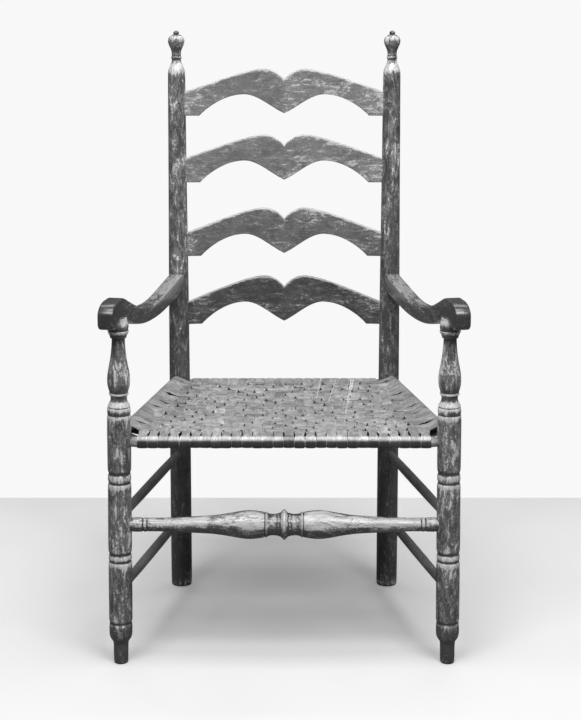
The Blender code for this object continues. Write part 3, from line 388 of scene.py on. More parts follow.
STRETCHER_SHARES = (
    (0.000, 1.000, EDGE), (0.006, 0.985), (0.013, 0.905), (0.020, 0.840), (0.0235, 0.815, EDGE),
    (0.0260, 0.778, EDGE), (0.035, 0.770), (0.0410, 0.757, EDGE), (0.0435, 0.728, EDGE),
    (0.060, 0.712), (0.077, 0.704), (0.091, 0.717), (0.103, 0.755), (0.112, 0.805, EDGE),
    (0.1150, 0.838, EDGE), (0.1185, 0.852), (0.1215, 0.838, EDGE), (0.1240, 0.798, EDGE),
    (0.1270, 0.800, EDGE), (0.1300, 0.835, EDGE), (0.150, 0.872), (0.175, 0.910), (0.205, 0.940),
    (0.235, 0.948), (0.270, 0.920), (0.320, 0.838), (0.370, 0.750), (0.420, 0.668),
    (0.480, 0.603), (0.560, 0.558), (0.660, 0.508), (0.760, 0.465), (0.840, 0.447),
    (0.890, 0.447), (0.8980, 0.428, EDGE), (0.9050, 0.462, EDGE), (0.913, 0.472),
    (0.9200, 0.455, EDGE), (0.9260, 0.422, EDGE), (0.9320, 0.455, EDGE), (0.942, 0.473),
    (0.957, 0.470), (0.972, 0.476), (0.990, 0.462), (1.000, 0.452),
)

# Extra rubbing of the posts: (first place, last place, rub), and tables of (place, rub); the finial's
# table also paints a highlight on its bulb and its up-facing neck
FRONT_RUBS = ((-1.0, 0.078, -0.62), (0.4835, 0.5030, 0.50), (0.4700, 0.4790, -0.45),
              (0.6056, 0.6420, -0.45), (0.36, 0.47, -0.12), (0.507, 0.605, -0.07))
REAR_RUB = ((0.42, -0.57), (0.52, -0.29), (0.62, -0.29), (0.94, -0.12))
# Painted highlight: the pale band on the bulb's top, and part of the neck's paleness where it faces up.
FINIAL_WEAR_AND_HIGHLIGHT = (
    (1.0580, 0.04), (1.0620, 0.60), (1.0668, 0.60), (1.0676, -0.35), (1.0698, 0.00),
    (1.0714, 0.20), (1.0724, 0.42), (1.0800, 0.38), (1.0880, -0.02), (1.1000, -0.18),
    (1.1060, 0.10), (1.1100, 0.12), (1.1130, -0.25), (1.1224, -0.25),
)
FINIAL_RING = 1.0672


def front_wear(place):
    """A front post: dark foot and grooves, a bare cove, duller near the floor."""
    for first, last, rub in FRONT_RUBS:
        if first < place < last:
            return rub, SHOULDER_RUB_AND_LIGHT
    return -0.17 * eased((0.182 - place) / 0.03), SHOULDER_RUB_AND_LIGHT


def rear_wear(place):
    """A rear post: barer towards its top, a bare neck below the finial, a painted highlight on the
    finial's bulb, a scuffed foot.
    """
    if place > FINIAL_WEAR_AND_HIGHLIGHT[0][0]:
        return read_off(FINIAL_WEAR_AND_HIGHLIGHT, place), SHOULDER_RUB_AND_LIGHT if place < FINIAL_RING else 0.0
    flare = 0.10 * eased((place - 1.032) / 0.012)
    scuffs = 0.52 * eased((0.024 - place) / 0.018)
    return read_off(REAR_RUB, place) + flare + scuffs, SHOULDER_RUB_AND_LIGHT


def plain_wear(place):
    """A rung or rail has no place that is rubbed more than another."""
    return 0.0, 0.0


def make_posts():
    """The four posts, each on its leaning axis."""
    front = faired(FRONT_POST)
    rear = faired(REAR_POST, most=8)
    for side, hand in ((-1, "left"), (1, "right")):
        for is_front, profile, wear, word in ((True, front, front_wear, "front"),
                                              (False, rear, rear_wear, "rear")):
            low = post_axis(is_front, side, 0.0)
            high = post_axis(is_front, side, ARM_HEIGHT)
            placement = aligned(low, high - low, Vector((side, 0.0, 0.0)))
            name = f"{word}_post_{hand}"
            seed = 1.7 + 2.3 * side + (0.9 if is_front else 0.0)
            piece = turned_piece(f"turned_{name}", profile, placement, seed, wear)
            level_foot(piece)
            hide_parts(name)
            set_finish(piece, "painted_post")


def level_foot(piece):
    """Rest a leaning post flat on the floor: no point of it goes below."""
    for vertex in piece.data.vertices:
        vertex.co.z = max(0.0, vertex.co.z)


def bar_between(start, end, height):
    """Placement and length of a bar between two post axes, its ends inside the posts."""
    first = post_axis(*start, height)
    span = post_axis(*end, height) - first
    along = span.normalized()
    return aligned(first + along * BAR_INSET, along, UP), span.length - 2 * BAR_INSET


def make_stretcher():
    """The turned front stretcher, mirrored about its ring."""
    placement, length = bar_between((True, -1), (True, 1), FRONT_STRETCHER_HEIGHT)
    half = length / 2 - (FRONT_POST_RADIUS - BAR_INSET)
    points = [(length / 2 + way * share * half, radius * STRETCHER_RADIUS, *rest)
              for way, rows in ((-1, STRETCHER_SHARES[:0:-1]), (1, STRETCHER_SHARES))
              for share, radius, *rest in rows]
    tip = STRETCHER_SHARES[-1][1] * STRETCHER_RADIUS
    profile = faired([(0.0, tip, EDGE), *points, (length, tip, EDGE)], finest=0.002)

    def wear(place):
        return 0.02 - 0.34 * eased((abs(place / length - 0.5) - 0.39) / 0.09), 0.0

    # The stretcher's top front gets the feet rub with a painted highlight, and its lower side painted
    # shade.
    piece = turned_piece("turned_front_stretcher", profile, placement, 4.2, wear, above=0.80)
    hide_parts("front_stretcher")
    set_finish(piece, "stretcher_wood")


# Shaved bars: length of the taper (None for a third of the bar), its knee as a share of it, the
# radii at tip, knee, end of the taper and middle, and how uneven the bar is
RUNG = (None, 0.45, (0.0076, 0.0083, 0.0089, 0.0090), 0.03)
RAIL = (0.021, 0.55, (0.0080, 0.0083, 0.0093, 0.0094), 0.015)


def shaved_bar(name, start, end, height, seed, shape):
    """A plain bar between two posts, shaved thinner to its ends."""
    placement, length = bar_between(start, end, height)
    taper, knee_share, (tip, knee, full, middle), wobble = shape
    taper = taper or length / 3
    rise = [(0.0, tip), (taper * knee_share, knee), (taper, full)]
    fall = [(length - place, radius) for place, radius in reversed(rise)]
    profile = faired([*rise, (length / 2, middle), *fall], finest=0.01)
    piece = turned_piece(f"shaved_{name}", profile, placement, seed, plain_wear,
                         sides=BAR_SIDES, wobble=wobble)
    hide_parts(name)
    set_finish(piece, "rung_wood")


def make_bars():
    """Rungs and seat rails."""
    for side, hand in ((-1, "left"), (1, "right")):
        for level, height, more in (("upper", FRONT_STRETCHER_HEIGHT + UPPER_RUNG_RISE, 0.4),
                                    ("lower", LOWER_RUNG_HEIGHT, 0.0)):
            shaved_bar(f"side_stretcher_{level}_{hand}", (True, side), (False, side), height,
                       5.1 + side + more, RUNG)
    side_height = SEAT_RAIL_HEIGHT + SIDE_RAIL_RISE
    rails = (("front", (True, -1), (True, 1), SEAT_RAIL_HEIGHT),
             ("rear", (False, -1), (False, 1), SEAT_RAIL_HEIGHT),
             ("left", (True, -1), (False, -1), side_height),
             ("right", (True, 1), (False, 1), side_height))
    for number, (word, first, last, height) in enumerate(rails):
        shaved_bar(f"seat_rail_{word}", first, last, height, 6.6 + number, RAIL)


SLAT_THICKNESS = 0.0085
SLAT_BOW = 0.0120
SLAT_HEIGHTS = (0.0925, 0.0945, 0.0960, 0.0965)
SLAT_CREST_SHARES = (1.0195, 0.8095, 0.5740, 0.3530)
SLAT_END_SHARES = (0.475, 0.475, 0.495, 0.520)
SLAT_FLAT_END = 0.862
SLAT_TENON_PAST_AXIS = 0.0030
SLAT_TOP_OUTER = ((0.66, -0.245), (0.36, 0.0), (0.205, 0.0))
SLAT_TOP_INNER = ((0.205, 0.0), (0.13, 0.0), (0.05, -0.10), (0.0, -0.225))
SLAT_LOW_OUTER = ((SLAT_FLAT_END, -1.0), (0.80, -0.86), (0.62, -0.545), (0.405, -0.545))
SLAT_LOW_INNER = ((0.405, -0.545), (0.27, -0.545), (0.13, -0.83), (0.0, -0.95))
SLAT_STATIONS = 34
SLAT_END_STATIONS = (0.93, 1.0)
SLAT_LEVELS = (0.06, 0.18, 0.34, 0.50, 0.66, 0.80, 0.88)
SLAT_EASE = 0.0011
SLAT_ARRIS = 0.0034
SLAT_ARRIS_END = SLAT_ARRIS + 0.0001
SLAT_WAVE = 0.0005
SLAT_SMOOTH = 28.0
# Rubbing of the left and right half of each slat, then of its ends, point and edges; the pale top front
# arris is partly wear and partly painted highlight, and the darker lower edge is painted shade
SLAT_WEAR = ((0.0, 0.16), (0.02, 0.14), (-0.02, 0.04), (-0.08, 0.0))
SLAT_ENDS_FROM = 0.72
SLAT_ENDS_WEAR = 0.7
SLAT_POINT_REACH = 0.22
SLAT_POINT_WEAR = 0.16
ARRIS_WEAR_AND_HIGHLIGHT = 0.95
ARRIS_SOFT_WEAR_AND_HIGHLIGHT = 0.25
LOW_EDGE_PAINTED_SHADE = 0.15


def bezier(handles, share):
    """A point on a cubic curve through four handles, each a number or a vector."""
    first, second, third, fourth = handles
    rest = 1 - share
    return (rest ** 3 * first + 3 * rest ** 2 * share * second
            + 3 * rest * share ** 2 * third + share ** 3 * fourth)


def height_on_curve(handles, across):
    """Height of a curve of (across, height) handles where it reaches a place across."""
    low, high = 0.0, 1.0
    for _ in range(30):
        middle = (low + high) / 2
        if bezier([handle[0] for handle in handles], middle) > across:
            low = middle
        else:
            high = middle
    return bezier([handle[1] for handle in handles], low)


def slat_edges(index, across):
    """Top and bottom of a slat as shares of its height, at a share of its half width."""
    end = SLAT_END_SHARES[index]
    if across >= 1.0:
        return -end, -1.0
    top = SLAT_TOP_INNER
    if across > SLAT_TOP_INNER[0][0]:
        top = ((1.0, -end), *SLAT_TOP_OUTER)
    low = SLAT_LOW_INNER if across <= SLAT_LOW_INNER[0][0] else SLAT_LOW_OUTER
    bottom = -1.0 if across >= SLAT_FLAT_END else height_on_curve(low, across)
    return height_on_curve(top, across), bottom


def slat_crest(index):
    """Height of a slat's crest above the floor."""
    return SEAT_RAIL_HEIGHT + SLAT_CREST_SHARES[index] * (REAR_SHAFT_HEIGHT - SEAT_RAIL_HEIGHT)


def rear_radius(height):
    """Radius of a rear post at a height."""
    return read_off([point[:2] for point in REAR_POST], height)


def make_slat(index):
    """A slat: a short block, its long edges eased, extruded from section to section."""
    crest = slat_crest(index)
    height = SLAT_HEIGHTS[index]
    axis_half = post_axis(False, 1, crest - height / 2).x
    half = axis_half - rear_radius(crest - height / 2)
    shares = [step * SLAT_FLAT_END / SLAT_STATIONS for step in range(SLAT_STATIONS + 1)]
    right = [share * half for share in (*shares, *SLAT_END_STATIONS)]
    right.append(axis_half + SLAT_TENON_PAST_AXIS)
    places = [-place for place in reversed(right[1:])] + right

    def section(place):
        """Bow, middle height and height of the slat at a place across."""
        top, bottom = slat_edges(index, min(abs(place) / half, 1.0))
        bow = SLAT_BOW * (1 - (place / half) ** 2) + SLAT_WAVE * ripple(place * 14, index * 3.1, 0.0)
        return bow, (top + bottom) / 2 * height, (top - bottom) * height

    first, second = places[:2]
    bow, middle, tall = section(first)
    first_tall = tall
    clear_selection()
    bpy.ops.mesh.primitive_cube_add(size=1.0, location=((first + second) / 2, bow, middle),
                                    scale=(second - first, SLAT_THICKNESS, tall))
    piece = name_new(f"shaped_slat_{index + 1}")
    bpy.ops.object.transform_apply()
    top_line = middle + tall / 2 - TINY
    front_line = bow - SLAT_THICKNESS / 2 + TINY

    def long_edge(ends, arris):
        """Whether an edge runs along the slat, and is or isn't its front top arris."""
        front_top = all(end.z > top_line and end.y < front_line for end in ends)
        return abs(ends[0].x - ends[1].x) > TINY and front_top == arris

    select_parts(piece, "EDGE", lambda ends: long_edge(ends, False))
    bpy.ops.mesh.bevel(offset=SLAT_EASE, segments=2, affect="EDGES")
    select_parts(piece, "EDGE", lambda ends: long_edge(ends, True))
    bpy.ops.mesh.bevel(offset=SLAT_ARRIS, segments=3, affect="EDGES")
    for level in SLAT_LEVELS:
        bpy.ops.mesh.select_all(action="SELECT")
        bpy.ops.mesh.bisect(plane_co=(0.0, 0.0, middle + (level - 0.5) * tall), plane_no=UP)
    bpy.ops.object.mode_set(mode="OBJECT")
    select_parts(piece, "FACE", lambda corners: all(abs(spot.x - second) < TINY
                                                    for spot in corners))
    here = second
    for place in places[2:]:
        new_bow, new_middle, new_tall = section(place)
        bpy.ops.mesh.extrude_region_move(
            TRANSFORM_OT_translate={"value": (place - here, new_bow - bow, new_middle - middle)})
        bpy.ops.transform.resize(value=(1.0, 1.0, new_tall / tall))
        here, bow, middle, tall = place, new_bow, new_middle, new_tall
    face_outwards()

    grain, worn = [], []
    left_wear, right_wear = SLAT_WEAR[index]
    for vertex in piece.data.vertices:
        place = vertex.co
        _, middle, tall = section(place.x)
        share = (place.z - middle) / tall + 0.5
        from_low, from_top = share * first_tall, (1 - share) * first_tall
        if from_low < 2 * SLAT_EASE:
            place.z = middle - tall / 2 + from_low
        elif from_top < SLAT_ARRIS_END:
            place.z = middle + tall / 2 - from_top
        across = place.x / half
        grain.extend((place.y + index * 1.3, place.z + index * 0.7, place.x + index * 2.1))
        value = max(0.0, abs(across) - SLAT_ENDS_FROM) * SLAT_ENDS_WEAR
        value += SLAT_POINT_WEAR * max(0.0, 1 - abs(across) / SLAT_POINT_REACH) * (1 - share)
        value += (left_wear if across < 0 else right_wear) * min(1.0, abs(across) * 3)
        # Painted highlight along the top front arris, on top of its wear, and painted shade along the
        # lower edge.
        if from_top < 0.6 * SLAT_ARRIS:
            value += ARRIS_WEAR_AND_HIGHLIGHT
        elif from_top < SLAT_ARRIS_END:
            value += ARRIS_SOFT_WEAR_AND_HIGHLIGHT
        elif from_low < 0.8 * SLAT_EASE:
            value -= LOW_EDGE_PAINTED_SHADE
        worn.append(value)
    keep(piece.data, "grain", "FLOAT_VECTOR", grain)
    keep(piece.data, "worn", "FLOAT", worn)
    origin = post_axis(False, 0, crest)
    stand(piece, Matrix.Translation(origin) @ Matrix.Rotation(-BACK_LEAN, 4, "X"))
    smooth(piece, SLAT_SMOOTH)
    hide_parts(f"slat_{index + 1}")
    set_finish(piece, "slat_wood")


PEG_FROM_AXIS = 0.0050
PEG_PROUD = 0.0004
PEG_TIP = ((0.0, 0.0012), (0.0003, 0.0019), (0.0008, 0.0024))
PEG_RADIUS = 0.0025


def make_pegs():
    """Small pins through the top slat's tenons, their ends a hair proud and rounded."""
    height = slat_crest(0) - SLAT_HEIGHTS[0] * (1 + SLAT_END_SHARES[0]) / 2
    reach = math.sqrt(rear_radius(height) ** 2 - PEG_FROM_AXIS ** 2) + PEG_PROUD
    far_tip = [(2 * reach - place, radius) for place, radius in reversed(PEG_TIP)]
    profile = [*PEG_TIP, (reach, PEG_RADIUS), *far_tip]
    level = Vector((0.0, math.cos(BACK_LEAN), -math.sin(BACK_LEAN)))
    for side, hand in ((-1, "left"), (1, "right")):
        centre = post_axis(False, side, height)
        centre.x -= side * PEG_FROM_AXIS
        placement = aligned(centre - level * reach, level, UP)
        piece = turned_piece(f"pin_{hand}", profile, placement, 9.0 + side,
                             lambda place: (0.2, 0.0), sides=16, wobble=0.02)
        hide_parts(f"slat_peg_{hand}")
        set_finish(piece, "peg_wood")


ARM_THICKNESS = 0.0285
ARM_FRONT_HALF_SPAN = 0.2940
ARM_CREST_RISE = 0.0363
SCROLL_REACH = 0.0635
SCROLL_DROP = 0.0100
SCROLL_CORNER = 0.0120
SCROLL_CREST_BACK = 0.0385
SCROLL_SWELL = 0.0220
ARM_SEAT_HALF = 0.0192
ARM_TOP_DIP = 0.0170
ARM_UNDER_DIP = 0.0446
ARM_REAR_TOP = 0.0010
ARM_REAR_UNDER = 0.0345
ARM_ROUND = 0.0036
ARM_SMOOTH = 35.0
# Handles of the outline's curves over the top and back underneath, as shares of the arm's length
ARM_SHARES = ((-0.012, 0.058, 0.22, 0.523), (0.523, 0.674, 0.895, 1.0), (1.0, 0.86, 0.70, 0.546),
              (0.546, 0.465, 0.35, 0.244), (0.139, 0.062))
ARM_TOP_BAND = 0.0045
ARM_TOP_LOWEST = -0.030
SCROLL_TOP_LOWEST = -0.018
SCROLL_END = 0.1
COPE_REACH = 0.08
COPE_SIDES = 48
# Each arm's rubbing towards the back, and how much more paint it keeps: the right arm keeps less,
# painted paler all over to stand in for the light from the left on its inner side
ARM_RUB_AND_SIDE_LIGHT = {-1: (0.72, 0.10), 1: (0.42, -0.05)}
ARM_TOP_WEAR = 0.12
SCROLL_DARK = 0.55
SCROLL_DARK_REACH = 0.030


def arm_frame(side):
    """The arm's own frame at the front post, X along it to the back and Z up."""
    rear = post_axis(False, side, ARM_HEIGHT)
    front = Vector((side * ARM_FRONT_HALF_SPAN, FRONT_PLANE, ARM_HEIGHT))
    along = rear - front
    length = along.length
    along.normalize()
    turned = Matrix((along, UP.cross(along), UP)).transposed()
    return Matrix.Translation(front) @ turned.to_4x4(), length


def arc(centre, radii, start, end, steps):
    """Points on an elliptical arc, angles in degrees from the arm's direction."""
    points = []
    for step in range(steps + 1):
        angle = math.radians(start + (end - start) * step / steps)
        points.append((centre[0] + radii[0] * math.cos(angle),
                       centre[1] + radii[1] * math.sin(angle)))
    return points


def swept(places, heights, steps):
    """Points along a cubic curve, without its first."""
    return [(bezier(places, (step + 1) / steps), bezier(heights, (step + 1) / steps))
            for step in range(steps)]


def arm_outline(length):
    """The arm seen from the side, round its scroll, over the top and back underneath."""
    low = -SCROLL_DROP
    crest = ARM_CREST_RISE
    front = -SCROLL_REACH
    top_front, top_rear, under_rear, under_mid, under_front = [
        [share * length for share in shares] for shares in ARM_SHARES]
    dip, under = -ARM_TOP_DIP, -ARM_UNDER_DIP
    points = arc((front + SCROLL_CORNER, low + SCROLL_CORNER), (SCROLL_CORNER, SCROLL_CORNER),
                 270, 180, 9)
    points += arc((front + SCROLL_CREST_BACK, crest - SCROLL_SWELL),
                  (SCROLL_CREST_BACK, SCROLL_SWELL), 180, 90, 20)
    points += [(top_front[0], crest)]
    points += swept(top_front, (crest, crest, dip, dip), 26)
    points += swept(top_rear, (dip, dip, ARM_REAR_TOP, ARM_REAR_TOP), 20)
    points += [(length, -ARM_REAR_UNDER)]
    points += swept(under_rear, (-ARM_REAR_UNDER, -ARM_REAR_UNDER, under, under), 16)
    points += swept(under_mid, (under, under, under * 0.96, under * 0.75), 12)
    points += swept((under_mid[3], *under_front, ARM_SEAT_HALF),
                    (under * 0.75, under * 0.54, under * 0.38, 0.0), 14)
    points += [(-ARM_SEAT_HALF, 0.0), (-ARM_SEAT_HALF - 0.0006, low * 0.6),
               (-ARM_SEAT_HALF - 0.0040, low)]
    return points


def top_of_arm(tops, place):
    """Height of the arm's upper edge at a place along it."""
    best = -1.0
    for (start, low), (end, high) in zip(tops, tops[1:]):
        if start <= place <= end and end - start > 1e-9:
            best = max(best, low + (high - low) * (place - start) / (end - start))
    return best


def make_arm(side):
    """A sawn arm: a flat outline given its thickness and rounded edges, coped to the post."""
    hand = "left" if side < 0 else "right"
    name = f"shaped_arm_{hand}"
    placement, length = arm_frame(side)
    outline = arm_outline(length)
    curve = bpy.data.curves.new(name, "CURVE")
    curve.dimensions = "2D"
    curve.fill_mode = "BOTH"
    curve.extrude = ARM_THICKNESS / 2 - ARM_ROUND
    curve.bevel_depth = ARM_ROUND
    curve.bevel_resolution = 3
    curve.offset = -ARM_ROUND
    spline = curve.splines.new("POLY")
    spline.points.add(len(outline) - 1)
    for point, (place, height) in zip(spline.points, outline):
        point.co = (place, height, 0.0, 1.0)
    spline.use_cyclic_u = True
    flat = bpy.data.objects.new(name, curve)
    bpy.context.collection.objects.link(flat)
    pick(flat)
    bpy.ops.object.convert(target="MESH")
    piece = bpy.context.object
    piece.rotation_euler = (math.radians(90.0), 0.0, 0.0)
    bpy.ops.object.transform_apply()
    bpy.ops.object.mode_set(mode="EDIT")
    bpy.ops.mesh.select_all(action="SELECT")
    bpy.ops.mesh.remove_doubles(threshold=0.00001)
    face_outwards()

    # The right arm's smaller share of kept paint is painted light, from the left onto its inner side.
    rear_rub, paint = ARM_RUB_AND_SIDE_LIGHT[side]
    tops = sorted((place, height) for place, height in outline if height > ARM_TOP_LOWEST
                  and (height > SCROLL_TOP_LOWEST or place > SCROLL_END))
    grain, worn = [], []
    for vertex in piece.data.vertices:
        place = vertex.co
        grain.extend((place.y + side * 1.9, place.z + side * 0.6, place.x + side * 2.7))
        rear = clamp((place.x / length - 0.30) / 0.45)
        upper = 1.0 if abs(place.z - top_of_arm(tops, place.x)) < ARM_TOP_BAND else 0.0
        scroll = SCROLL_DARK * eased((SCROLL_DARK_REACH - place.x) / SCROLL_DARK_REACH)
        worn.append(upper * (ARM_TOP_WEAR + rear_rub * rear) - paint - scroll)
    keep(piece.data, "grain", "FLOAT_VECTOR", grain)
    keep(piece.data, "worn", "FLOAT", worn)
    stand(piece, placement)

    middle = ARM_HEIGHT + (ARM_REAR_TOP - ARM_REAR_UNDER) / 2
    base = post_axis(False, side, middle - COPE_REACH)
    span = post_axis(False, side, middle + COPE_REACH) - base
    radius = rear_radius(middle)
    cope = raise_rings("cope", [(0.0, radius), (span.length, radius)], COPE_SIDES)
    cope.matrix_world = aligned(base, span, Vector((side, 0.0, 0.0)))
    cut = piece.modifiers.new("cope", "BOOLEAN")
    cut.operation = "DIFFERENCE"
    cut.solver = "EXACT"
    cut.object = cope
    pick(piece)
    bpy.ops.object.modifier_apply(modifier="cope")
    bpy.data.objects.remove(cope, do_unlink=True)
    smooth(piece, ARM_SMOOTH)
    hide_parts(f"arm_{hand}")
    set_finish(piece, "arm_wood")


# The woven seat: the part's own sizes, then what age has done to the splints
SPLINT_WIDTH = 0.0170
SPLINT_THICKNESS = 0.0009
RAIL_RADIUS = 0.0095
WARP_GAP = 0.0016
WEFT_GAP = 0.0012
WARP_EDGE = 0.0046
WEFT_START = 0.0408
GORE_BARE_END = 0.0100
GORE_CLEAR_OF_RAIL = 0.0180
GORE_TAIL_SHARE = 0.5
TURNS_PER_SPLINT = 4
TWILL = 2
UNDERSIDE_FLOAT = 6
SPLICE_GAP = 0.0020
WARP_WIDTH = 0.0177
WEFT_WIDTH = 0.0174
GRID_LINES = 3
SPLINT_SMOOTH = 40.0
LIFT = (SPLINT_THICKNESS + FIT) / 2
CROWN = 0.0003
ROLLED_EDGE = 0.0005
CURL = 0.0014
SWING = 0.0014
RAGGED = 0.0011
TILT = 0.0058
RAMP = 0.0027
RAMP_STEPS = (-1.0, -0.62, -0.3, 0.0, 0.3, 0.62, 1.0)
RAMP_FOOT = 1.55
TOP_SAG = 0.0065
UNDER_SAG = 0.0030
GORE_SLACK = 0.0008
WARP_SLACK = 0.0005
WARP_WANDER = 0.0009
DARK_TURN = -0.70
TURN_SHADE = 0.16
# Strips are worn narrow behind the front rail, those at the corners the most
NARROW_FROM = 0.008
NARROW_TO = 0.020
NARROW_TO_EVERY_THIRD = 0.037
NARROW = 0.0032
CORNER_NARROW = 0.0040
CORNER_PLACE = 0.155
# Wraps on the front rail, in degrees round it: where they start and stop being paler above, partly
# from rub and partly as painted highlight, and where painted shade sets in below, each with the run
# over which it fades in or out
PALE_BAND_LOW = (39, 12)
PALE_BAND_HIGH = (84, 14)
WRAP_RUB_AND_HIGHLIGHT = 0.60
SHADE_BELOW = (49, 36)
RAIL_PAINTED_SHADE = 1.02
# How the weft's front edge tilts up where it comes over, and when it leans on the row in front
TILT_SPREAD = 3.4
TILT_MEAN = 0.75
FOOT_TILT = 0.22
LEAN_LEAST = 0.005
LEAN_MOST = 0.8
LEAN_RISE = 0.7
LEAN_TILT = 1.2


def side_rail_half(height, back):
    """Distance from the chair's middle to a side rail's axis, at a place back from the front."""
    front = post_axis(True, 1, height)
    rear = post_axis(False, 1, height)
    return front.x + (rear.x - front.x) * back / (rear.y - front.y)


class Seat:
    """Places of the warp, gores and weft, worked out from the frame as the part does."""

    def __init__(self):
        self.wrap = RAIL_RADIUS + FIT + SPLINT_THICKNESS / 2
        self.top = SEAT_RAIL_HEIGHT + self.wrap
        self.bottom = SEAT_RAIL_HEIGHT - self.wrap
        self.side_height = SEAT_RAIL_HEIGHT + SIDE_RAIL_RISE
        self.pitch = SPLINT_WIDTH + WARP_GAP
        self.row_pitch = SPLINT_WIDTH + WEFT_GAP
        rear = post_axis(False, 1, SEAT_RAIL_HEIGHT)
        self.depth = rear.y - FRONT_PLANE
        inner = rear.x - REAR_RADIUS_AT_SEAT
        self.turns = int((2 * (inner - WARP_EDGE) + WARP_GAP) // self.pitch)
        first = -(self.turns - 1) / 2
        self.warp = [(first + turn) * self.pitch for turn in range(self.turns)]
        last = self.depth - REAR_RADIUS_AT_SEAT - WARP_EDGE / 2
        self.rows = int((last - WEFT_START + WEFT_GAP) // self.row_pitch)
        self.row_places = [WEFT_START + SPLINT_WIDTH / 2 + row * self.row_pitch
                           for row in range(self.rows)]
        limit = post_axis(True, 1, SEAT_RAIL_HEIGHT).x - FRONT_RADIUS_AT_SEAT - GORE_BARE_END
        self.gores = []
        place = self.warp[-1] + self.pitch
        while place + SPLINT_WIDTH / 2 < limit:
            covered = [back for back in self.row_places
                       if side_rail_half(self.side_height, back + self.row_pitch / 2)
                       - place - SPLINT_WIDTH / 2 > GORE_CLEAR_OF_RAIL]
            self.gores.append((place, len(covered)))
            place += self.pitch

    def slant(self, back):
        """How far the underside strips have moved over by a place back from the front."""
        return self.pitch * back / self.depth

    def under_line(self, row):
        """Where an underside row starts at the right, and half the seat's width there."""
        start = self.row_places[0] + (row - 1) * self.row_pitch
        return start, side_rail_half(self.side_height, start)

    def under_back(self, row, across):
        """Place back of an underside row at a place across: it drifts one row on the way."""
        start, width = self.under_line(row)
        return start + self.row_pitch * (width - across) / (2 * width)

    def under_across(self, row, place):
        """Where an underside row meets a slanting strip that starts at a place in front."""
        start, width = self.under_line(row)
        drift = self.row_pitch / (2 * width)
        slope = self.pitch / self.depth
        return (place + slope * (start + self.row_pitch / 2)) / (1 + slope * drift)

    def tail_end(self, side, place, row):
        """The gap behind an underside row, where a gore's tail can end."""
        across = self.under_across(row, side * place)
        return self.under_back(row, across) + self.row_pitch / 2

    def gore_ends(self, side, index):
        """How far back a gore reaches on top and underneath, between two rows of weft."""
        place, covered = self.gores[index]
        top = self.row_places[0] + (covered - 1 / 2) * self.row_pitch
        last = round(covered * GORE_TAIL_SHARE)
        while last > 1 and self.tail_end(side, place, last) > self.depth / 2 - self.row_pitch:
            last -= 1
        return top, self.tail_end(side, place, last), last

    def top_strips(self, row):
        """Places of the strips that a top row crosses, with each strip's number."""
        strips = [(place, number) for number, place in enumerate(self.warp)]
        for number, (place, covered) in enumerate(self.gores):
            if covered > row:
                strips += [(place, self.turns + number), (-place, -1 - number)]
        return sorted(strips)

    def under_strips(self, row):
        """Places of the strips that an underside row crosses, from right to left."""
        strips = [(self.under_across(row, place), number)
                  for number, place in enumerate(self.warp[:-1])]
        half = SPLINT_WIDTH / 2
        right = self.under_across(row, self.warp[-1])
        if self.under_back(row, right) - half < self.depth / 2:
            strips.append((right, self.turns - 1))
        left = self.under_across(row, self.warp[0] - self.pitch)
        if self.under_back(row, left) + half > self.depth / 2:
            strips.append((left, -1))
        for index, (place, _) in enumerate(self.gores):
            for side, number in ((1, self.turns + index), (-1, -1 - index)):
                if self.gore_ends(side, index)[2] >= row:
                    strips.append((self.under_across(row, side * place), number))
        return sorted(strips, reverse=True)

    def sag(self, across, back, amount):
        """How far the used seat hangs below its rails at a place."""
        width = side_rail_half(self.side_height, clamp(back, 0.0, self.depth))
        u = min(1.0, abs(across) / width)
        v = min(1.0, abs(back - self.depth / 2) / (self.depth / 2))
        return amount * (1 - u ** 2) * (1 - v ** 2.4)

    def under(self, across, back):
        """Height of the strips under the seat at a place."""
        return self.bottom - self.sag(across, back, UNDER_SAG)


def over_top(row, number):
    """1 where a top row goes over a strip of the warp and -1 where it goes under."""
    return 1 if (number + row) % (2 * TWILL) < TWILL else -1


def over_below(row, number):
    """-1 where an underside row lies below a strip of the warp and 1 where above."""
    return -1 if (number - row) % (2 * UNDERSIDE_FLOAT) < UNDERSIDE_FLOAT else 1


def wrap_angles(first, last, step=15.0):
    """Angles of a strip's bends round a rail, in degrees."""
    count = max(1, round(abs(last - first) / step))
    return [first + (last - first) * index / count for index in range(count + 1)]


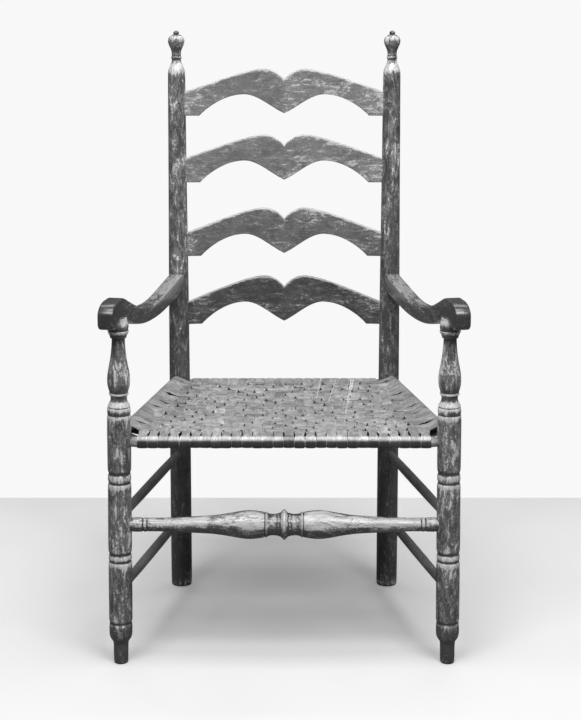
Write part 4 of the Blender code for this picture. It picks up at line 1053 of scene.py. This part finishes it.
class Splint:
    """One flat splint on its way through the seat, as stations in the chair."""

    def __init__(self, seat, seed, width=WARP_WIDTH, curl=(0.5, 0.5)):
        self.seat = seat
        self.seed = seed
        self.stations = []
        self.width = width
        self.curl = curl
        self.shade = 0.0
        self.pinch = 0.0
        self.mottle = 1.0

    def add(self, across, back, height, arrow=(1.0, 0.0, 0.0), over=0.0, tilt=0.0):
        """A station: its centre, the direction across the strip, 1 where it lies on top,
        and how far its front edge stands up there."""
        self.stations.append((Vector((across, back + FRONT_PLANE, height)), Vector(arrow), over,
                              tilt, self.shade, self.pinch, self.mottle))

    def make(self, name, tone):
        """Lay a flat grid along the stations, then give it its thickness."""
        count = len(self.stations)
        clear_selection()
        bpy.ops.mesh.primitive_grid_add(x_subdivisions=count - 1, y_subdivisions=GRID_LINES,
                                        size=1.0)
        piece = name_new(f"woven_{name}")
        mesh = piece.data
        centres = [station[0] for station in self.stations]
        runs = [0.0]
        for here, following in zip(centres, centres[1:]):
            runs.append(runs[-1] + (following - here).length)
        places, grain, tones = [], [], []
        for vertex in mesh.vertices:
            index = round((vertex.co.x + 0.5) * (count - 1))
            line = round((vertex.co.y + 0.5) * GRID_LINES)
            centre, arrow, over, tilt, shade, pinch, mottle = self.stations[index]
            run = runs[index]
            share = line / GRID_LINES - 0.5
            side = 2 * share
            across = share * (self.width - pinch)
            across += SWING * ripple(run * 7, self.seed * 5, 1.0)
            across += RAGGED * ripple(run * 24, self.seed * 3, line * 2.0) * side
            curl = max(0.0, ripple(run * 31, self.seed * 11, 7.0 + line))
            curl = curl * CURL * self.curl[0 if side < 0 else 1]
            raised = curl * abs(side) * max(0.0, over) + tilt * max(0.0, -side) ** 1.5
            along = centres[min(count - 1, index + 1)] - centres[max(0, index - 1)]
            crown = along.cross(arrow).normalized() * (-ROLLED_EDGE * side ** 2)
            places.extend(centre + arrow * across + UP * raised + crown)
            grain.extend((share * SPLINT_WIDTH, self.seed * 0.731, run))
            slow = ripple(run * 2.6, self.seed * 9.1, 3.0)
            brisk = ripple(run * 13.0, self.seed * 4.3, 5.0)
            tones.append(0.5 + shade + mottle * (tone - 0.5 + 0.34 * slow + 0.24 * brisk))
        mesh.vertices.foreach_set("co", places)
        keep(mesh, "grain", "FLOAT_VECTOR", grain)
        keep(mesh, "tone", "FLOAT", tones)
        mesh.update()
        wall = piece.modifiers.new("thickness", "SOLIDIFY")
        wall.thickness = SPLINT_THICKNESS
        wall.offset = 0.0
        bpy.ops.object.modifier_apply(modifier="thickness")
        bpy.ops.object.mode_set(mode="EDIT")
        face_outwards()
        smooth(piece, SPLINT_SMOOTH)
        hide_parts(name)
        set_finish(piece, "splint")


def under_part(splint, from_back, to_back, front, count):
    """Stations of a warp strip under the seat, between two places but not at them.

    front is where the slanting strip would cross the front rail.
    """
    seat = splint.seat
    for step in range(1, count):
        back = from_back + (to_back - from_back) * step / count
        place = front + seat.slant(back)
        splint.add(place, back, seat.under(place, back))


def warp_over_seat(splint, place, number, end=None):
    """A warp strip on top, dipping under and rising over the weft, from back to front."""
    seat = splint.seat
    rows = [(back, -over_top(row, number)) for row, back in enumerate(seat.row_places)
            if end is None or back < end]
    first, state = rows[0]
    stations = [((first - seat.row_pitch / 2) * share, state * share * 0.6)
                for share in (0.30, 0.62, 0.98)]
    for (back, state), (after, following) in zip(rows, rows[1:]):
        stations.append((back, float(state)))
        if state != following:
            stations += [((back + after) / 2 + step * RAMP,
                          state + (following - state) * eased((step + 1) / 2))
                         for step in RAMP_STEPS]
    last, state = rows[-1]
    stations.append((last, float(state)))
    if end is None:
        stations += [(last + seat.row_pitch * 0.45, state * 0.8),
                     (last + seat.row_pitch * 0.75, state * 0.3)]
    else:
        stations.append((end, float(state)))
    narrow = NARROW * abs(math.sin(number * 2.7 + 0.4))
    if abs(place) > CORNER_PLACE:
        narrow = CORNER_NARROW
    reach = NARROW_TO if number % 3 else NARROW_TO_EVERY_THIRD
    for back, state in sorted(stations, reverse=True):
        splint.pinch = narrow if NARROW_FROM < back < reach else 0.0
        crown = CROWN if state == 1.0 else 0.0
        height = seat.top + LIFT * state + crown - seat.sag(place, back, TOP_SAG)
        splint.add(place, back, height, over=state)
    splint.pinch = 0.0


def round_front_rail(splint, place, slack):
    """Bend a strip down round the front rail: pale above, partly from rub and partly as painted
    highlight, with painted shade and slack below.
    """
    seat = splint.seat
    shade = splint.shade
    for angle in wrap_angles(90.0, -90.0):
        turned = math.radians(angle)
        hang = slack * (1 - math.sin(turned)) / 2
        # Above, a pale band that is partly rub and partly painted highlight; below, painted shade.
        rubbed = eased((angle - PALE_BAND_LOW[0]) / PALE_BAND_LOW[1])
        rubbed *= eased((PALE_BAND_HIGH[0] - angle) / PALE_BAND_HIGH[1])
        low = eased((SHADE_BELOW[0] - angle) / SHADE_BELOW[1])
        splint.mottle = 0.5 - 0.3 * low
        splint.shade = shade * (1 - 0.7 * low) + WRAP_RUB_AND_HIGHLIGHT * rubbed - RAIL_PAINTED_SHADE * low
        splint.add(place, -seat.wrap * math.cos(turned),
                   SEAT_RAIL_HEIGHT + seat.wrap * math.sin(turned) - hang)
    splint.shade, splint.mottle = 0.0, 1.0


def wind_warp(seat, name, first, last, seed):
    """One splint of the warp: whole turns round both rails, spliced halfway underneath."""
    splint = Splint(seat, seed)
    middle = seat.depth / 2
    front = seat.warp[first] - seat.pitch
    start = front + seat.slant(middle)
    back = middle + SPLICE_GAP / 2
    splint.add(start, back, seat.under(start, back))
    under_part(splint, back, seat.depth, front, 5)
    for turn in range(first, last):
        place = seat.warp[turn]
        wobble = WARP_WANDER * math.sin(turn * 12.9898 + 1.3)
        slack = WARP_SLACK * (1 + math.sin(turn * 4.713 + 0.6))
        splint.shade = 0.0
        for angle in wrap_angles(-90.0, 90.0):
            turned = math.radians(angle)
            splint.add(place, seat.depth + seat.wrap * math.cos(turned),
                       SEAT_RAIL_HEIGHT + seat.wrap * math.sin(turned))
        warp_over_seat(splint, place + wobble, turn)
        splint.shade = TURN_SHADE * math.sin(turn * 2.31)
        if turn == seat.turns // 2:
            splint.shade = DARK_TURN
        round_front_rail(splint, place + wobble, slack)
        if turn + 1 < last:
            under_part(splint, 0.0, seat.depth, place, 9)
    back = middle - SPLICE_GAP / 2
    under_part(splint, 0.0, back, place, 5)
    end = place + seat.slant(back)
    splint.add(end, back, seat.under(end, back))
    splint.make(name, 0.5 + 0.10 * math.sin(seed * 5.3))


def hook_gore(seat, name, side, index, seed):
    """A short splint hooked over the front rail, its ends in the weave."""
    place = side * seat.gores[index][0]
    top_end, bottom_end, _ = seat.gore_ends(side, index)
    splint = Splint(seat, seed)
    warp_over_seat(splint, place, seat.turns + index if side > 0 else -1 - index, top_end)
    splint.shade = TURN_SHADE * math.sin(seed * 2.31)
    round_front_rail(splint, place, GORE_SLACK)
    under_part(splint, 0.0, bottom_end, place, 4)
    end = place + seat.slant(bottom_end)
    splint.add(end, bottom_end, seat.under(end, bottom_end))
    splint.make(name, 0.5 + 0.14 * math.sin(seed * 5.3))


class Weft(Splint):
    """One splint of the weft: over the seat, round a side rail, and back underneath."""

    def __init__(self, seat, seed):
        super().__init__(seat, seed, width=WEFT_WIDTH, curl=(1.0, 0.35))
        front, rear = (side_rail_half(seat.side_height, back) for back in (0.0, seat.depth))
        self.flare = (rear - front) / seat.depth
        self.stretch = math.sqrt(1 + self.flare ** 2)
        self.edge = seat.pitch / 2
        self.skew = seat.pitch / seat.depth

    def taut_angle(self, back, inner, height):
        """Where the strip first touches the rail on its way out from a point in the seat."""
        seat = self.seat
        run = abs(inner) - side_rail_half(seat.side_height, back)
        rise = height - seat.side_height
        reach = seat.wrap * self.stretch
        spread = math.degrees(math.acos(min(1.0, reach / math.hypot(run, rise))))
        toward = math.degrees(math.atan2(rise, run))
        if height > SEAT_RAIL_HEIGHT:
            return (toward if toward > 0 else toward + 360) - spread
        return (toward if toward < 0 else toward - 360) + spread

    def round_rail(self, side, back, first, last):
        """Bend the strip round a side rail between two angles."""
        seat = self.seat
        for angle in wrap_angles(first, last):
            turned = math.radians(angle)
            run = side_rail_half(seat.side_height, back)
            run += seat.wrap * self.stretch * math.cos(turned)
            self.add(side * run, back, seat.side_height + seat.wrap * math.sin(turned),
                     (side * self.flare, 1.0, 0.0), 0.4)

    def cross(self, strips, height_at, state_at, back_at, skew, heading):
        """Carry the strip over and under, changing sides in the gaps between strips."""

        def station(across, state, tilt=0.0):
            """A station in the weave at a place across."""
            self.add(across, back_at(across), height_at(across, state), (skew, 1.0, 0.0), state,
                     tilt)

        for (place, number), (next_place, next_number) in zip(strips, strips[1:]):
            before, after = state_at(number), state_at(next_number)
            station(place, before)
            if before == after:
                continue
            gap = (place + next_place) / 2
            loose = ripple(gap * 71, self.seed * 3.7, back_at(gap) * 53)
            tilt = TILT * clamp(TILT_SPREAD * loose + TILT_MEAN) if heading > 0 else 0.0
            foot = heading * RAMP_FOOT * RAMP
            if before == 1 and tilt:
                station(gap - foot, 1, tilt * FOOT_TILT)
            for step in RAMP_STEPS:
                mixed = before + (after - before) * eased((step + 1) / 2)
                station(gap + heading * step * RAMP, mixed, tilt * max(0.0, mixed + 0.3) / 1.3)
            if after == 1 and tilt:
                station(gap + foot, 1, tilt * FOOT_TILT)
        place, number = strips[-1]
        station(place, state_at(number))

    def over_seat(self, row):
        """One row from the left rail over the seat and round the right rail."""
        seat = self.seat
        back = seat.row_places[row]
        strips = seat.top_strips(row)

        def height_at(across, state):
            crown = 1.5 * CROWN if state == 1 else 0.0
            return seat.top + LIFT * state + crown - seat.sag(across, back, TOP_SAG)

        def edge_at(side, strip):
            """The row's last place before a rail, its height and its state there."""
            across = strip[0] + side * self.edge
            state = over_top(row, strip[1])
            return across, height_at(across, state), state

        left, left_height, left_state = edge_at(-1, strips[0])
        right, right_height, right_state = edge_at(1, strips[-1])
        self.round_rail(-1, back, self.low_angle, self.taut_angle(back, left, left_height))
        self.lean(row, -1, left, left_height)
        self.add(left, back, left_height, (0.0, 1.0, 0.0), left_state)
        self.cross(strips, height_at, lambda number: over_top(row, number), lambda across: back,
                   0.0, 1)
        self.add(right, back, right_height, (0.0, 1.0, 0.0), right_state)
        self.lean(row, 1, right, right_height)
        self.high_angle = self.taut_angle(back, right, right_height)

    def lean(self, row, side, start, height):
        """Where the row in front stays low for longer, lean this one's front edge on it."""
        seat = self.seat
        if row == 0:
            return
        strips = seat.top_strips(row - 1)
        front = strips[0 if side < 0 else -1][0] + side * self.edge
        run = side_rail_half(seat.side_height, seat.row_places[row]) - abs(start)
        reach = abs(front) - abs(start)
        if reach < LEAN_LEAST or reach > LEAN_MOST * run:
            return
        rise = SIDE_RAIL_RISE * reach / run
        self.add(front, seat.row_places[row], height + rise * LEAN_RISE, (0.0, 1.0, 0.0), 0.0,
                 -rise * LEAN_TILT)

    def under_seat(self, row, part):
        """A row under the seat from right to left: whole, or one half of it to a splice."""
        seat = self.seat
        strips = seat.under_strips(row)
        centre = seat.under_across(row, seat.warp[seat.turns // 2])

        def back_at(across):
            return seat.under_back(row, across)

        def height_at(across, state):
            return seat.under(across, back_at(across)) + 2 * LIFT * state

        def state_at(number):
            return over_below(row, number)

        def enter(side, strip):
            """The row's last place before a rail, and its height there."""
            across = strip[0] + side * self.edge
            return across, height_at(across, state_at(strip[1]))

        if part == "right":
            strips = [item for item in strips if item[0] > centre - FIT]
        if part == "left":
            strips = [item for item in strips if item[0] < centre + FIT]
        else:
            start = seat.row_places[row - 1]
            across, height = enter(1, strips[0])
            self.round_rail(1, start, self.high_angle, self.taut_angle(start, across, height))
            self.add(across, back_at(across), height, (self.skew, 1.0, 0.0))
        self.cross(strips, height_at, state_at, back_at, self.skew, -1)
        if part != "right":
            across, height = enter(-1, strips[-1])
            self.add(across, back_at(across), height, (self.skew, 1.0, 0.0))
            self.low_angle = self.taut_angle(seat.row_places[row], across, height)


def weave_weft(seat, name, first, last, seed):
    """One splint of the weft: whole turns through the warp and round the side rails."""
    splint = Weft(seat, seed)
    splint.under_seat(first, "left")
    for row in range(first, last):
        splint.over_seat(row)
        splint.under_seat(row + 1, "whole" if row + 1 < last else "right")
    splint.make(name, 0.5 + 0.12 * math.sin(seed * 5.3))


def make_seat():
    """Every splint of the seat, each long one a few turns."""
    seat = Seat()
    for number, first in enumerate(range(0, seat.turns, TURNS_PER_SPLINT), 1):
        last = min(first + TURNS_PER_SPLINT, seat.turns)
        wind_warp(seat, f"warp_splint_{number}", first, last, 11.0 + number)
    for side, hand in ((-1, "left"), (1, "right")):
        for index in range(len(seat.gores)):
            hook_gore(seat, f"gore_splint_{hand}_{index + 1}", side, index,
                      20.0 + index + 5 * side)
    for number, first in enumerate(range(0, seat.rows, TURNS_PER_SPLINT), 1):
        last = min(first + TURNS_PER_SPLINT, seat.rows)
        weave_weft(seat, f"weft_splint_{number}", first, last, 31.0 + number)


VALUE, VECTOR = "NodeSocketFloat", "NodeSocketVector"


def grey(value):
    """A neutral colour."""
    return (value, value, value, 1.0)


class Net:
    """Short hand for building one node tree."""

    def __init__(self, tree):
        self.tree = tree

    def add(self, kind, **settings):
        """A node, with its settings."""
        made = self.tree.nodes.new(kind)
        for key, value in settings.items():
            setattr(made, key, value)
        return made

    def feed(self, socket, value):
        """Give a socket a link or a number."""
        if isinstance(value, bpy.types.NodeSocket):
            self.tree.links.new(value, socket)
        else:
            socket.default_value = value

    def noise(self, vector, scale, detail=4.0, roughness=0.6, distortion=0.0):
        """Noise of about one over scale metres."""
        made = self.add("ShaderNodeTexNoise")
        for title, value in (("Vector", vector), ("Scale", scale), ("Detail", detail),
                             ("Roughness", roughness), ("Distortion", distortion)):
            self.feed(made.inputs[title], value)
        return made.outputs["Fac"]

    def stretch(self, vector, scale, turn=(0.0, 0.0, 0.0), shift=(0.0, 0.0, 0.0)):
        """A vector squeezed or drawn out along its axes, turned and moved."""
        made = self.add("ShaderNodeMapping")
        self.feed(made.inputs["Vector"], vector)
        made.inputs["Location"].default_value = shift
        made.inputs["Rotation"].default_value = turn
        made.inputs["Scale"].default_value = scale
        return made.outputs["Vector"]

    def sum(self, first, second, operation="ADD"):
        """One arithmetic step."""
        made = self.add("ShaderNodeMath", operation=operation)
        self.feed(made.inputs[0], first)
        self.feed(made.inputs[1], second)
        return made.outputs[0]

    def times(self, first, second):
        """Two values multiplied."""
        return self.sum(first, second, "MULTIPLY")

    def ramp(self, value, low, high, start=0.0, end=1.0, smooth=True):
        """A value carried from one range to another."""
        made = self.add("ShaderNodeMapRange")
        made.interpolation_type = "SMOOTHSTEP" if smooth else "LINEAR"
        for title, amount in (("Value", value), ("From Min", low), ("From Max", high),
                              ("To Min", start), ("To Max", end)):
            self.feed(made.inputs[title], amount)
        return made.outputs["Result"]

    def mix(self, share, first, second, blend="MIX"):
        """Two colours mixed."""
        made = self.add("ShaderNodeMix", data_type="RGBA", blend_type=blend)
        self.feed(made.inputs[0], share)
        for socket, value in ((made.inputs[6], first), (made.inputs[7], second)):
            self.feed(socket, value if isinstance(value, bpy.types.NodeSocket) else grey(value))
        return made.outputs[2]


class Effect(Net):
    """A shared node group: its inputs after the place, and the values that it puts out."""

    def __init__(self, name, outputs, **inputs):
        super().__init__(bpy.data.node_groups.new(name, "ShaderNodeTree"))
        face = self.tree.interface
        face.new_socket("Place", in_out="INPUT", socket_type=VECTOR)
        for title, default in inputs.items():
            socket = face.new_socket(title, in_out="INPUT", socket_type=VALUE)
            socket.default_value = default
        for title in outputs:
            face.new_socket(title, in_out="OUTPUT", socket_type=VALUE)
        self.given = self.add("NodeGroupInput").outputs
        self.place = self.given["Place"]
        self.outlet = self.add("NodeGroupOutput")

    def put(self, **values):
        """Put out the group's values."""
        for title, value in values.items():
            self.feed(self.outlet.inputs[title], value)


def wood_grain():
    """Long streaks and short pores of riven and turned wood, along the piece's Z."""
    net = Effect("wood grain", ("Streak", "Pore", "Height"))
    streak = net.noise(net.stretch(net.place, (1.0, 1.0, 0.09)), 260.0, 5.0, 0.62, 0.4)
    pore = net.noise(net.stretch(net.place, (1.0, 1.0, 0.22)), 900.0, 3.0, 0.7)
    net.put(Streak=net.ramp(streak, 0.36, 0.64), Pore=net.ramp(pore, 0.55, 0.68),
            Height=net.sum(streak, net.times(pore, 0.5), "SUBTRACT"))
    return net.tree


def paint_wear():
    """Where old paint has rubbed thin, chipped and gone: blotches drawn out along the grain."""
    net = Effect("paint wear", ("Bare", "Thin", "Fleck", "Height"), Proud=0.0, Streak=0.5,
                 Amount=0.5)
    broad = net.noise(net.stretch(net.place, (1.0, 1.0, 0.30)), 30.0, 3.0, 0.6, 0.4)
    patch = net.noise(net.stretch(net.place, (1.0, 1.0, 0.40)), 82.0, 5.0, 0.66, 1.2)
    chip = net.noise(net.stretch(net.place, (1.0, 1.0, 0.7)), 380.0, 3.0, 0.65)
    total = net.times(patch, 1.45)
    for part, weight in ((broad, 0.65), (net.given["Streak"], 0.11), (chip, 0.55),
                         (net.given["Proud"], 0.50), (net.given["Amount"], 0.5)):
        total = net.sum(total, net.times(part, weight))
    fleck = net.times(net.ramp(chip, 0.60, 0.66), net.ramp(total, 1.50, 1.66))
    net.put(Bare=net.ramp(total, 1.74, 1.88), Thin=net.ramp(total, 1.46, 1.76), Fleck=fleck,
            Height=net.ramp(total, 1.84, 1.72))
    return net.tree


def grime():
    """Soft dark dirt in broad clouds and fine specks."""
    net = Effect("grime", ("Cloud", "Speck"))
    net.put(Cloud=net.ramp(net.noise(net.place, 24.0, 5.0, 0.65), 0.35, 0.68),
            Speck=net.ramp(net.noise(net.place, 620.0, 2.0, 0.6), 0.60, 0.70))
    return net.tree


def scratches():
    """Fine pale scratches in two slightly crossing directions."""
    net = Effect("scratches", ("Mark",), Amount=0.5)
    marks = []
    for turn, scale, drift in ((0.10, 810.0, 0.0), (-0.22, 630.0, 3.7)):
        drawn = net.stretch(net.place, (1.0, 1.0, 0.02), (turn, turn, 0.0), (drift, 0.0, drift))
        line = net.noise(drawn, scale, 1.0, 0.4)
        breaks = net.noise(net.place, 30.0 + drift, 2.0, 0.5)
        marks.append(net.times(net.ramp(line, 0.70, 0.74), net.ramp(breaks, 0.52, 0.62)))
    net.put(Mark=net.times(net.sum(*marks, "MAXIMUM"), net.given["Amount"]))
    return net.tree


def splint_fibre():
    """Long parallel fibres of a splint, where its edges lie, and its dark stains."""
    net = Effect("splint fibre", ("Fibre", "Edge", "Stain", "Height"))
    fibre = net.noise(net.stretch(net.place, (1.0, 1.0, 0.035)), 900.0, 4.0, 0.7)
    stain = net.noise(net.stretch(net.place, (1.0, 1.0, 0.35)), 60.0, 4.0, 0.6)
    parts = net.add("ShaderNodeSeparateXYZ")
    net.feed(parts.inputs[0], net.place)
    away = net.sum(parts.outputs[0], 0.0, "ABSOLUTE")
    share = net.sum(away, SPLINT_WIDTH / 2, "DIVIDE")
    net.put(Fibre=net.ramp(fibre, 0.3, 0.7), Edge=net.ramp(share, 0.84, 0.96),
            Stain=net.ramp(stain, 0.45, 0.72), Height=fibre)
    return net.tree


# Start across at the front, lean, half width, first and last place back, for each rub mark
RUB_MARKS = ((0.0988, 0.101, 0.0013, 0.225, 0.430), (0.1007, 0.085, 0.0009, 0.155, 0.420),
             (0.0531, 0.128, 0.0008, 0.235, 0.415), (0.0399, 0.083, 0.0007, 0.265, 0.425),
             (-0.0196, 0.940, 0.0011, 0.175, 0.250))


def rub_marks():
    """Pale rub marks that run from the back of the seat to its front, right of its middle."""
    net = Effect("rub marks", ("Mark",))
    parts = net.add("ShaderNodeSeparateXYZ")
    net.feed(parts.inputs[0], net.place)
    back = net.sum(parts.outputs[1], FRONT_PLANE, "SUBTRACT")
    breaks = net.noise(net.place, 90.0, 3.0, 0.6)
    total = 0.0
    for start, lean, width, first, last in RUB_MARKS:
        line = net.sum(net.times(back, lean), start)
        away = net.sum(net.sum(parts.outputs[0], line, "SUBTRACT"), 0.0, "ABSOLUTE")
        mark = net.times(net.ramp(away, width * 1.5, width * 0.4), net.ramp(breaks, 0.30, 0.46))
        ends = net.times(net.ramp(back, first, first + 0.02), net.ramp(back, last, last - 0.02))
        total = net.sum(total, net.times(mark, ends), "MAXIMUM")
    net.put(Mark=net.times(total, 0.90))
    return net.tree


EFFECTS = {"grain": wood_grain(), "wear": paint_wear(), "grime": grime(),
           "scratch": scratches(), "fibre": splint_fibre(), "rubs": rub_marks()}


class Finish(Net):
    """A material for one kind of piece."""

    def __init__(self, name):
        self.material = bpy.data.materials.new(name)
        self.material.use_nodes = True
        super().__init__(self.material.node_tree)
        self.shader = self.tree.nodes["Principled BSDF"]

    def give(self, **values):
        """Give the shader's own sockets their values or links."""
        for title, value in values.items():
            self.feed(self.shader.inputs[title.replace("_", " ")], value)

    def read(self, name, output):
        """The piece's own mark of that name."""
        made = self.add("ShaderNodeAttribute", attribute_type="GEOMETRY", attribute_name=name)
        return made.outputs[output]

    def use(self, effect, place, **values):
        """An effect with this finish's own values."""
        made = self.add("ShaderNodeGroup", node_tree=EFFECTS[effect])
        self.feed(made.inputs["Place"], place)
        for title, value in values.items():
            self.feed(made.inputs[title], value)
        return made.outputs

    def layers(self, colour, *layers):
        """Lay tones over a colour, each where its mask says and by its own amount."""
        for mask, amount, tone in layers:
            colour = self.mix(self.times(mask, amount), colour, tone)
        return colour

    def finish(self, colour, roughness, heights, depth, strength):
        """Join colour, roughness and relief to the shader."""
        bump = self.add("ShaderNodeBump")
        bump.inputs["Distance"].default_value = depth
        bump.inputs["Strength"].default_value = strength
        self.feed(bump.inputs["Height"], heights)
        self.give(Base_Color=colour, Roughness=roughness, Normal=bump.outputs["Normal"])
        return self.material


def painted_wood(name, dark, thin, bare, amount, rough, coat=0.0, relief=0.45, sheen=0.16):
    """Old dark paint over paler wood, rubbed through in streaks."""
    look = Finish(name)
    place = look.read("grain", "Vector")
    grain = look.use("grain", place)
    wear = look.use("wear", place, Proud=look.read("worn", "Fac"), Streak=grain["Streak"],
                    Amount=amount)
    dirt = look.use("grime", place)
    marks = look.use("scratch", place, Amount=0.5)
    paint = look.mix(wear["Thin"], look.mix(dirt["Cloud"], dark, dark * 1.55), thin)
    colour = look.mix(wear["Bare"], paint, look.mix(grain["Streak"], bare * 0.72, bare * 1.12))
    colour = look.layers(colour, (wear["Fleck"], 0.45, bare), (grain["Pore"], 0.55, dark * 0.8),
                         (dirt["Speck"], 0.35, dark * 0.6), (marks["Mark"], 1.0, bare))
    roughness = look.ramp(wear["Bare"], 0.0, 1.0, rough, rough + 0.14, smooth=False)
    heights = look.sum(look.times(wear["Height"], 0.6), look.times(grain["Height"], 0.5))
    look.give(Coat_Weight=coat, Coat_Roughness=sheen)
    return look.finish(colour, roughness, heights, 0.0005, relief)


def splint_wood(name):
    """Grey-brown weathered splint: fibres, edges paler in places from fraying and as painted highlight,
    edges darker in places as painted shadow of the gaps, stains and its own tone.
    """
    look = Finish(name)
    place = look.read("grain", "Vector")
    strip = look.use("fibre", place)
    dirt = look.use("grime", place)
    marks = look.use("scratch", place, Amount=0.35)
    rubs = look.use("rubs", look.add("ShaderNodeTexCoord").outputs["Object"])
    mottle = look.noise(look.stretch(place, (1.0, 1.0, 0.45)), 115.0, 5.0, 0.72, 0.6)
    colour = look.mix(look.times(strip["Fibre"], 0.80), 0.25, 0.52)
    # Painted light on the strip edges: pale where they fray and catch the light, dark as the shadow in
    # the gaps between strips.
    fraying_and_highlight = look.times(strip["Edge"], look.ramp(mottle, 0.46, 0.56))
    shaded_edge = look.times(strip["Edge"], look.ramp(mottle, 0.50, 0.42))
    colour = look.layers(colour, (look.ramp(mottle, 0.46, 0.66), 0.80, 0.62),
                         (strip["Stain"], 0.60, 0.16), (dirt["Speck"], 0.45, 0.07),
                         (fraying_and_highlight, 0.80, 0.74), (shaded_edge, 0.55, 0.12), (marks["Mark"], 1.0, 0.62),
                         (rubs["Mark"], 1.0, 0.80))
    # The tone holds each strip's own tone and, round the front rail, its painted highlight and painted
    # shade.
    depth = look.ramp(look.read("tone", "Fac"), -0.5, 1.3, 0.14, 2.02, smooth=False)
    colour = look.mix(1.0, colour, depth, blend="MULTIPLY")
    roughness = look.ramp(strip["Fibre"], 0.0, 1.0, 0.33, 0.46, smooth=False)
    look.give(Coat_Weight=0.5, Coat_Roughness=0.30)
    return look.finish(colour, roughness, strip["Height"], 0.0003, 0.35)


def dress():
    """Give every piece its finish: its own where it has one, and else that of its slot."""
    looks = {
        "painted_post": painted_wood("worn post paint", 0.078, 0.26, 0.86, 0.64, 0.33, coat=0.35),
        "slat_wood": painted_wood("worn slat paint", 0.155, 0.27, 0.62, 0.40, 0.42),
        "shaped_slat_3": painted_wood("grey slat paint", 0.115, 0.215, 0.62, 0.41, 0.41),
        "shaped_slat_4": painted_wood("dark slat paint", 0.055, 0.13, 0.48, 0.38, 0.40),
        "arm_wood": painted_wood("handled arm paint", 0.048, 0.17, 0.50, 0.44, 0.22, coat=1.0,
                                 relief=0.05, sheen=0.25),
        "stretcher_wood": painted_wood("rubbed stretcher", 0.070, 0.30, 0.72, 0.68, 0.26,
                                       coat=0.7),
        "rung_wood": painted_wood("rung paint", 0.15, 0.24, 0.42, 0.34, 0.34),
        "seat_rail": painted_wood("bare rail wood", 0.16, 0.34, 0.55, 0.60, 0.45),
        "peg_wood": painted_wood("peg wood", 0.02, 0.04, 0.10, 0.40, 0.5),
        "splint": splint_wood("seat splint"),
    }
    for piece in PIECES:
        own = "seat_rail" if "seat_rail" in piece.name else piece.name
        piece.data.materials.clear()
        piece.data.materials.append(looks.get(own, looks[piece["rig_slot"]]))
        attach(piece, "root")


FLOOR_MIDDLE = (0.0, -1.64, 0.0)
FLOOR_SIZE = (9.0, 4.72, 1.0)


def build_room():
    """A pale floor that ends behind the chair, and white beyond it."""
    clear_selection()
    bpy.ops.mesh.primitive_plane_add(size=1.0, location=FLOOR_MIDDLE)
    floor = name_new("floor")
    floor.scale = FLOOR_SIZE
    bpy.ops.object.transform_apply()
    look = Finish("pale floor")
    cloud = look.noise(look.add("ShaderNodeTexCoord").outputs["Object"], 1.6, 3.0, 0.5)
    seen = look.add("ShaderNodeLightPath").outputs["Is Camera Ray"]
    pale = look.mix(look.ramp(cloud, 0.3, 0.7), 0.84, 0.91)
    glow = look.ramp(seen, 0.0, 1.0, 0.0, 0.15, smooth=False)
    look.give(Base_Color=look.mix(seen, 0.22, pale), Emission_Color=grey(1.0),
              Emission_Strength=glow, Roughness=0.75, Specular_IOR_Level=0.2)
    floor.data.materials.append(look.material)

    world = bpy.data.worlds.new("soft room")
    bpy.context.scene.world = world
    world.use_nodes = True
    net = Net(world.node_tree)
    sky = world.node_tree.nodes["Background"]
    rays = net.add("ShaderNodeLightPath").outputs
    seen = net.sum(rays["Is Camera Ray"], rays["Is Transmission Ray"], "MAXIMUM")
    net.feed(sky.inputs["Strength"], net.ramp(seen, 0.0, 1.0, 0.09, 0.94, smooth=False))
    sky.inputs["Color"].default_value = grey(1.0)


# Each lamp's place, the point that it faces, its width and length, and its watts
LAMPS = {
    "left window": ((-0.85, -1.8, 2.95), (0.0, 0.0, 0.55), (1.4, 1.2), 34.5),
    "right window": ((0.90, -1.8, 2.95), (0.0, 0.0, 0.55), (1.4, 1.2), 41.5),
    "skylight": ((0.0, -0.45, 3.20), (0.0, -0.25, 0.3), (2.2, 0.8), 26.0),
    "rear skylight": ((0.0, 1.10, 2.90), (0.0, -0.1, 0.45), (2.4, 0.4), 12.0),
}
CAMERA_DISTANCE = 2.7534
CAMERA_HEIGHT = 1.2433
CAMERA_PITCH = math.radians(79.0)
CAMERA_LENS = 80.68
CAMERA_SHIFT = (0.00875, -0.1108)


def light_and_shoot():
    """Soft light from above in front, a little fill, and the photograph's camera."""
    for name, (place, target, size, power) in LAMPS.items():
        data = bpy.data.lights.new(name, "AREA")
        data.shape = "RECTANGLE"
        data.size, data.size_y = size
        data.energy = power
        lamp = bpy.data.objects.new(name, data)
        lamp.location = place
        lamp.rotation_euler = (Vector(target) - Vector(place)).to_track_quat("-Z", "Y").to_euler()
        bpy.context.collection.objects.link(lamp)
    data = bpy.data.cameras.new("camera")
    data.lens = CAMERA_LENS
    data.shift_x, data.shift_y = CAMERA_SHIFT
    camera = bpy.data.objects.new("camera", data)
    camera.location = (0.0, FRONT_PLANE - CAMERA_DISTANCE, CAMERA_HEIGHT)
    camera.rotation_euler = (CAMERA_PITCH, 0.0, 0.0)
    bpy.context.collection.objects.link(camera)
    bpy.context.scene.camera = camera
    bpy.context.scene.view_settings.view_transform = "Standard"


make_posts()
make_stretcher()
make_bars()
for slat_number in range(len(SLAT_HEIGHTS)):
    make_slat(slat_number)
make_pegs()
for arm_side in (-1, 1):
    make_arm(arm_side)
make_seat()
dress()
build_room()
light_and_shoot()

bpy.context.view_layer.update()
